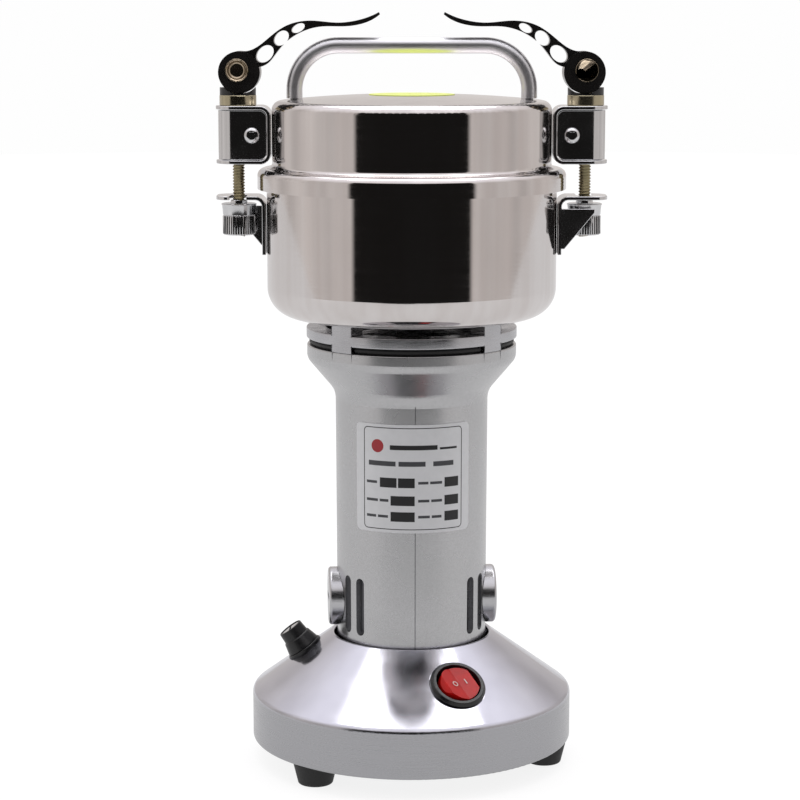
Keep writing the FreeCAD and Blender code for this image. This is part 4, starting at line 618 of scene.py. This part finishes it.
collarGapShade = {"inner": 34.6, "outer": 42.2, "bottom": 175.7, "top": 178.2,
          "firstPost": 49, "gap": 8.2}  # degrees: the first post, and from a post to the ring's end


def makeCollarGapShade():
    # black ring between the rim and the collar, in four lengths between the posts, put in the collar's gaps
    # as painted shade
    bm = bmesh.new()
    inner, outer, bottom, top = (collarGapShade[key] for key in ("inner", "outer", "bottom", "top"))
    outline = [(inner, bottom), (outer - 0.7, bottom), (outer, bottom + 0.8), (outer, top - 0.8),
               (outer - 0.7, top), (inner, top)]
    for quarter in range(4):
        turnedShape(bm, outline, 30, collarGapShade["firstPost"] + 90 * quarter + collarGapShade["gap"],
                    90 - 2 * collarGapShade["gap"])
    newPiece("collar_gap_painted_shade", bm, "stand", "rubber")


ventLiner = {"inner": 26.9, "outer": 27.9, "bottom": 55, "top": 82,
             "starts": (20, 120, 200, 300), "sweep": 48}  # degrees


def makeVentLiner():
    # grey insulating sleeve seen through the vent slots
    bm = bmesh.new()
    inner, outer, bottom, top = (ventLiner[key] for key in ("inner", "outer", "bottom", "top"))
    for start in ventLiner["starts"]:
        turnedShape(bm, [(inner, bottom), (outer, bottom), (outer, top), (inner, top)], 16, start,
                    ventLiner["sweep"])
    newPiece("vent_liner", bm, "stand", "fibre")


def makeTower():
    makeLabelPrint()
    makeSeam()
    makeCollarGapShade()
    makeVentLiner()
    softenedCopy("fan_collar", "fan_collar_finished", "stand", "collar", 0.25)


# Switch marks

switchMarks = {
    "tilt": 9, "slope": 36.0, "bearing": 292,
    "ring": (1.25, 0.9, -2.3, 4.49),  # outer and inner radius, place along the rocker, height
    "bar": (0.38, 2.4, 2.9, 4.61),  # width, length, place along the rocker, height
    "crown": math.atan2(0.9, 4.6),  # how far each half of the rocker leans
    "paint": 0.05,
}


def rockerPlace():
    # the rocker's own axes: X towards its low side, Z out of the base
    joint = next(j for j in frame["joints"] if j["name"] == "switch_press")
    along = -Vector(joint["axis"]).normalized()
    bearing, slope = math.radians(switchMarks["bearing"]), math.radians(switchMarks["slope"])
    out = Vector((math.cos(bearing) * math.sin(slope), math.sin(bearing) * math.sin(slope), math.cos(slope)))
    out = (out - along * out.dot(along)).normalized()
    turn = Matrix((along.cross(out), along, out)).transposed()
    tip = Matrix.Rotation(math.radians(switchMarks["tilt"]), 4, "Y")
    return Matrix.Translation(joint["pos_m"]) @ turn.to_4x4() @ tip


def makeSwitchMarks():
    bm = bmesh.new()
    outerRadius, innerRadius, ringPlace, ringHeight = switchMarks["ring"]
    outer = bmesh.ops.create_circle(bm, segments=32, radius=outerRadius * mm)["verts"]
    inner = bmesh.ops.create_circle(bm, segments=32, radius=innerRadius * mm)["verts"]
    bridgeRings(bm, outer, inner)
    bmesh.ops.rotate(bm, verts=outer + inner, cent=(0, 0, 0),
                     matrix=Matrix.Rotation(switchMarks["crown"], 3, "Y"))
    bmesh.ops.translate(bm, verts=outer + inner, vec=(ringPlace * mm, 0, ringHeight * mm))
    width, length, barPlace, barHeight = switchMarks["bar"]
    bar = bmesh.ops.create_grid(bm, x_segments=1, y_segments=1, size=0.5)["verts"]
    bmesh.ops.scale(bm, verts=bar, vec=(width * mm, length * mm, 1))
    bmesh.ops.rotate(bm, verts=bar, cent=(0, 0, 0), matrix=Matrix.Rotation(-switchMarks["crown"], 3, "Y"))
    bmesh.ops.translate(bm, verts=bar, vec=(barPlace * mm, 0, barHeight * mm))
    bmesh.ops.recalc_face_normals(bm, faces=bm.faces)
    bmesh.ops.solidify(bm, geom=bm.faces, thickness=switchMarks["paint"] * mm)
    bmesh.ops.transform(bm, verts=bm.verts, matrix=rockerPlace())
    newPiece("switch_marks", bm, "rocker", "white")


makeClamps()
print("clamps made")
makeTower()
print("tower details made")
makeSwitchMarks()
print("switch marks made")


# Stage, light and camera

stage = {
    "eye": (-4.8, -983, 311.8),  # mm
    "pitch": 9.27,
    "lens": 108,
    "table": 2.6,  # m, radius
    "tableBack": 1.75,  # m, how far its middle stands behind the mill
    "tableGlow": 0.86,
    "darkHalf": 47,  # degrees each side of the front where the studio is unlit
    "darkTop": 30,  # degrees above the horizon
    "walls": (0.62, 0.86),
    "dark": 0.012,
    "overhead": 0.6,  # added glow straight above
    "mirroredTable": 0.6,  # the table's glow as metal mirrors it
    "lights": {  # place, aim, size in metres, watts, whether mirrors show it
        "top softbox": ((0.0, 0.15, 1.3), (0, 0, 0.1), (1.2, 0.9), 7, True),
        "left softbox": ((-1.2, -0.45, 0.55), (0, 0, 0.17), (0.35, 1.1), 3.2, False),
        "right softbox": ((1.25, -0.35, 0.6), (0, 0, 0.17), (0.35, 1.1), 2.6, False),
    },
}


def makeCamera():
    data = bpy.data.cameras.new("camera")
    data.lens = stage["lens"]
    data.sensor_width = 36
    data.clip_start = 0.05
    camera = bpy.data.objects.new("camera", data)
    camera.location = Vector(stage["eye"]) * mm
    camera.rotation_euler = (math.radians(90 - stage["pitch"]), 0, 0)
    bpy.context.scene.collection.objects.link(camera)
    bpy.context.scene.camera = camera


def makeFloor():
    # a round pale table that ends in front, so that the steel above it mirrors the dark end of the studio
    mesh = bpy.data.meshes.new("floor")
    bm = bmesh.new()
    bmesh.ops.create_circle(bm, cap_ends=True, segments=96, radius=stage["table"])
    bmesh.ops.translate(bm, verts=bm.verts, vec=(0, stage["tableBack"], 0))
    bm.to_mesh(mesh)
    bm.free()
    floor = bpy.data.objects.new("floor", mesh)
    bpy.context.scene.collection.objects.link(floor)
    material = newMaterial("pale matt table")
    place = addNode(material, "TexCoord", output="Object")
    mottle = addNode(material, "TexNoise", {"Vector": place, "Scale": 1 / (400 * mm)})
    seen = addNode(material, "LightPath", output="Is Camera Ray")
    mesh.materials.append(finishMaterial(material, {
        "Specular IOR Level": 0.1,
        "Emission Color": "#FDFDFD",
        "Emission Strength": addNode(material, "Mix", {"Factor": seen, "A": stage["mirroredTable"],
                                                       "B": stage["tableGlow"]}, data_type="FLOAT"),
        "Base Color": addNode(material, "Mix", {"Factor": mottle, "A": "#6B6B6B", "B": "#6E6E6E"},
                              data_type="RGBA"),
        "Roughness": addNode(material, "MapRange", {"Value": mottle, "To Min": 0.65, "To Max": 0.75}),
    }))


def makeLights():
    for name, (place, aim, size, power, mirrored) in stage["lights"].items():
        lamp = bpy.data.lights.new(name, "AREA")
        lamp.shape = "RECTANGLE"
        lamp.size, lamp.size_y = size
        lamp.energy = power
        light = bpy.data.objects.new(name, lamp)
        light.location = place
        light.rotation_euler = (Vector(place) - Vector(aim)).to_track_quat("Z", "Y").to_euler()
        light.visible_glossy = mirrored
        bpy.context.scene.collection.objects.link(light)


def makeStudio():
    # pale walls all round and an unlit end in front, as polished steel shows it
    world = bpy.data.worlds.new("studio")
    bpy.context.scene.world = world
    world.use_nodes = True
    coords = addNode(world, "TexCoord", output="Generated")
    east = addNode(world, "SeparateXYZ", {"Vector": coords}, output="X")
    north = addNode(world, "SeparateXYZ", {"Vector": coords}, output="Y")
    up = addNode(world, "SeparateXYZ", {"Vector": coords}, output="Z")
    forward = addNode(world, "Math", {0: north, 1: -1.0}, operation="MULTIPLY")
    heading = addNode(world, "Math", {0: east, 1: forward}, operation="ARCTAN2")
    side = addNode(world, "Math", {0: heading}, operation="ABSOLUTE")
    edge, top = math.radians(stage["darkHalf"]), math.sin(math.radians(stage["darkTop"]))
    across = addNode(world, "MapRange", {"Value": side, "From Min": edge - 0.03, "From Max": edge + 0.03})
    above = addNode(world, "MapRange", {"Value": up, "From Min": top - 0.03, "From Max": top + 0.05})
    lit = addNode(world, "Math", {0: across, 1: above}, operation="MAXIMUM")
    panels = addNode(world, "TexNoise", {"W": heading, "Scale": 2.2, "Detail": 1}, noise_dimensions="1D")
    walls = addNode(world, "MapRange", {"Value": panels, "From Min": 0.3, "From Max": 0.7,
                                        "To Min": stage["walls"][0], "To Max": stage["walls"][1]})
    overhead = addNode(world, "MapRange", {"Value": up, "From Min": 0.35, "From Max": 0.8,
                                           "To Min": 0.0, "To Max": stage["overhead"]})
    bright = addNode(world, "Math", {0: walls, 1: overhead}, operation="ADD")
    glow = addNode(world, "Math", {0: lit, 1: bright}, operation="MULTIPLY")
    darkest = addNode(world, "Math", {0: glow, 1: stage["dark"]}, operation="MAXIMUM")
    seen = addNode(world, "LightPath", output="Is Camera Ray")
    air = addNode(world, "Mix", {"Factor": overhead, "A": "#F2ECE9", "B": "#F0F0FB"}, data_type="RGBA")
    back = world.node_tree.nodes["Background"]
    fillSockets(world.node_tree, back, {
        "Color": addNode(world, "Mix", {"Factor": seen, "A": air, "B": "#FEFEFE"}, data_type="RGBA"),
        "Strength": addNode(world, "Mix", {"Factor": seen, "A": darkest, "B": 1.0}, data_type="FLOAT"),
    })


makeCamera()
makeFloor()
makeLights()
makeStudio()
print("stage, light and camera set")

bpy.context.scene.view_settings.view_transform = "Standard"
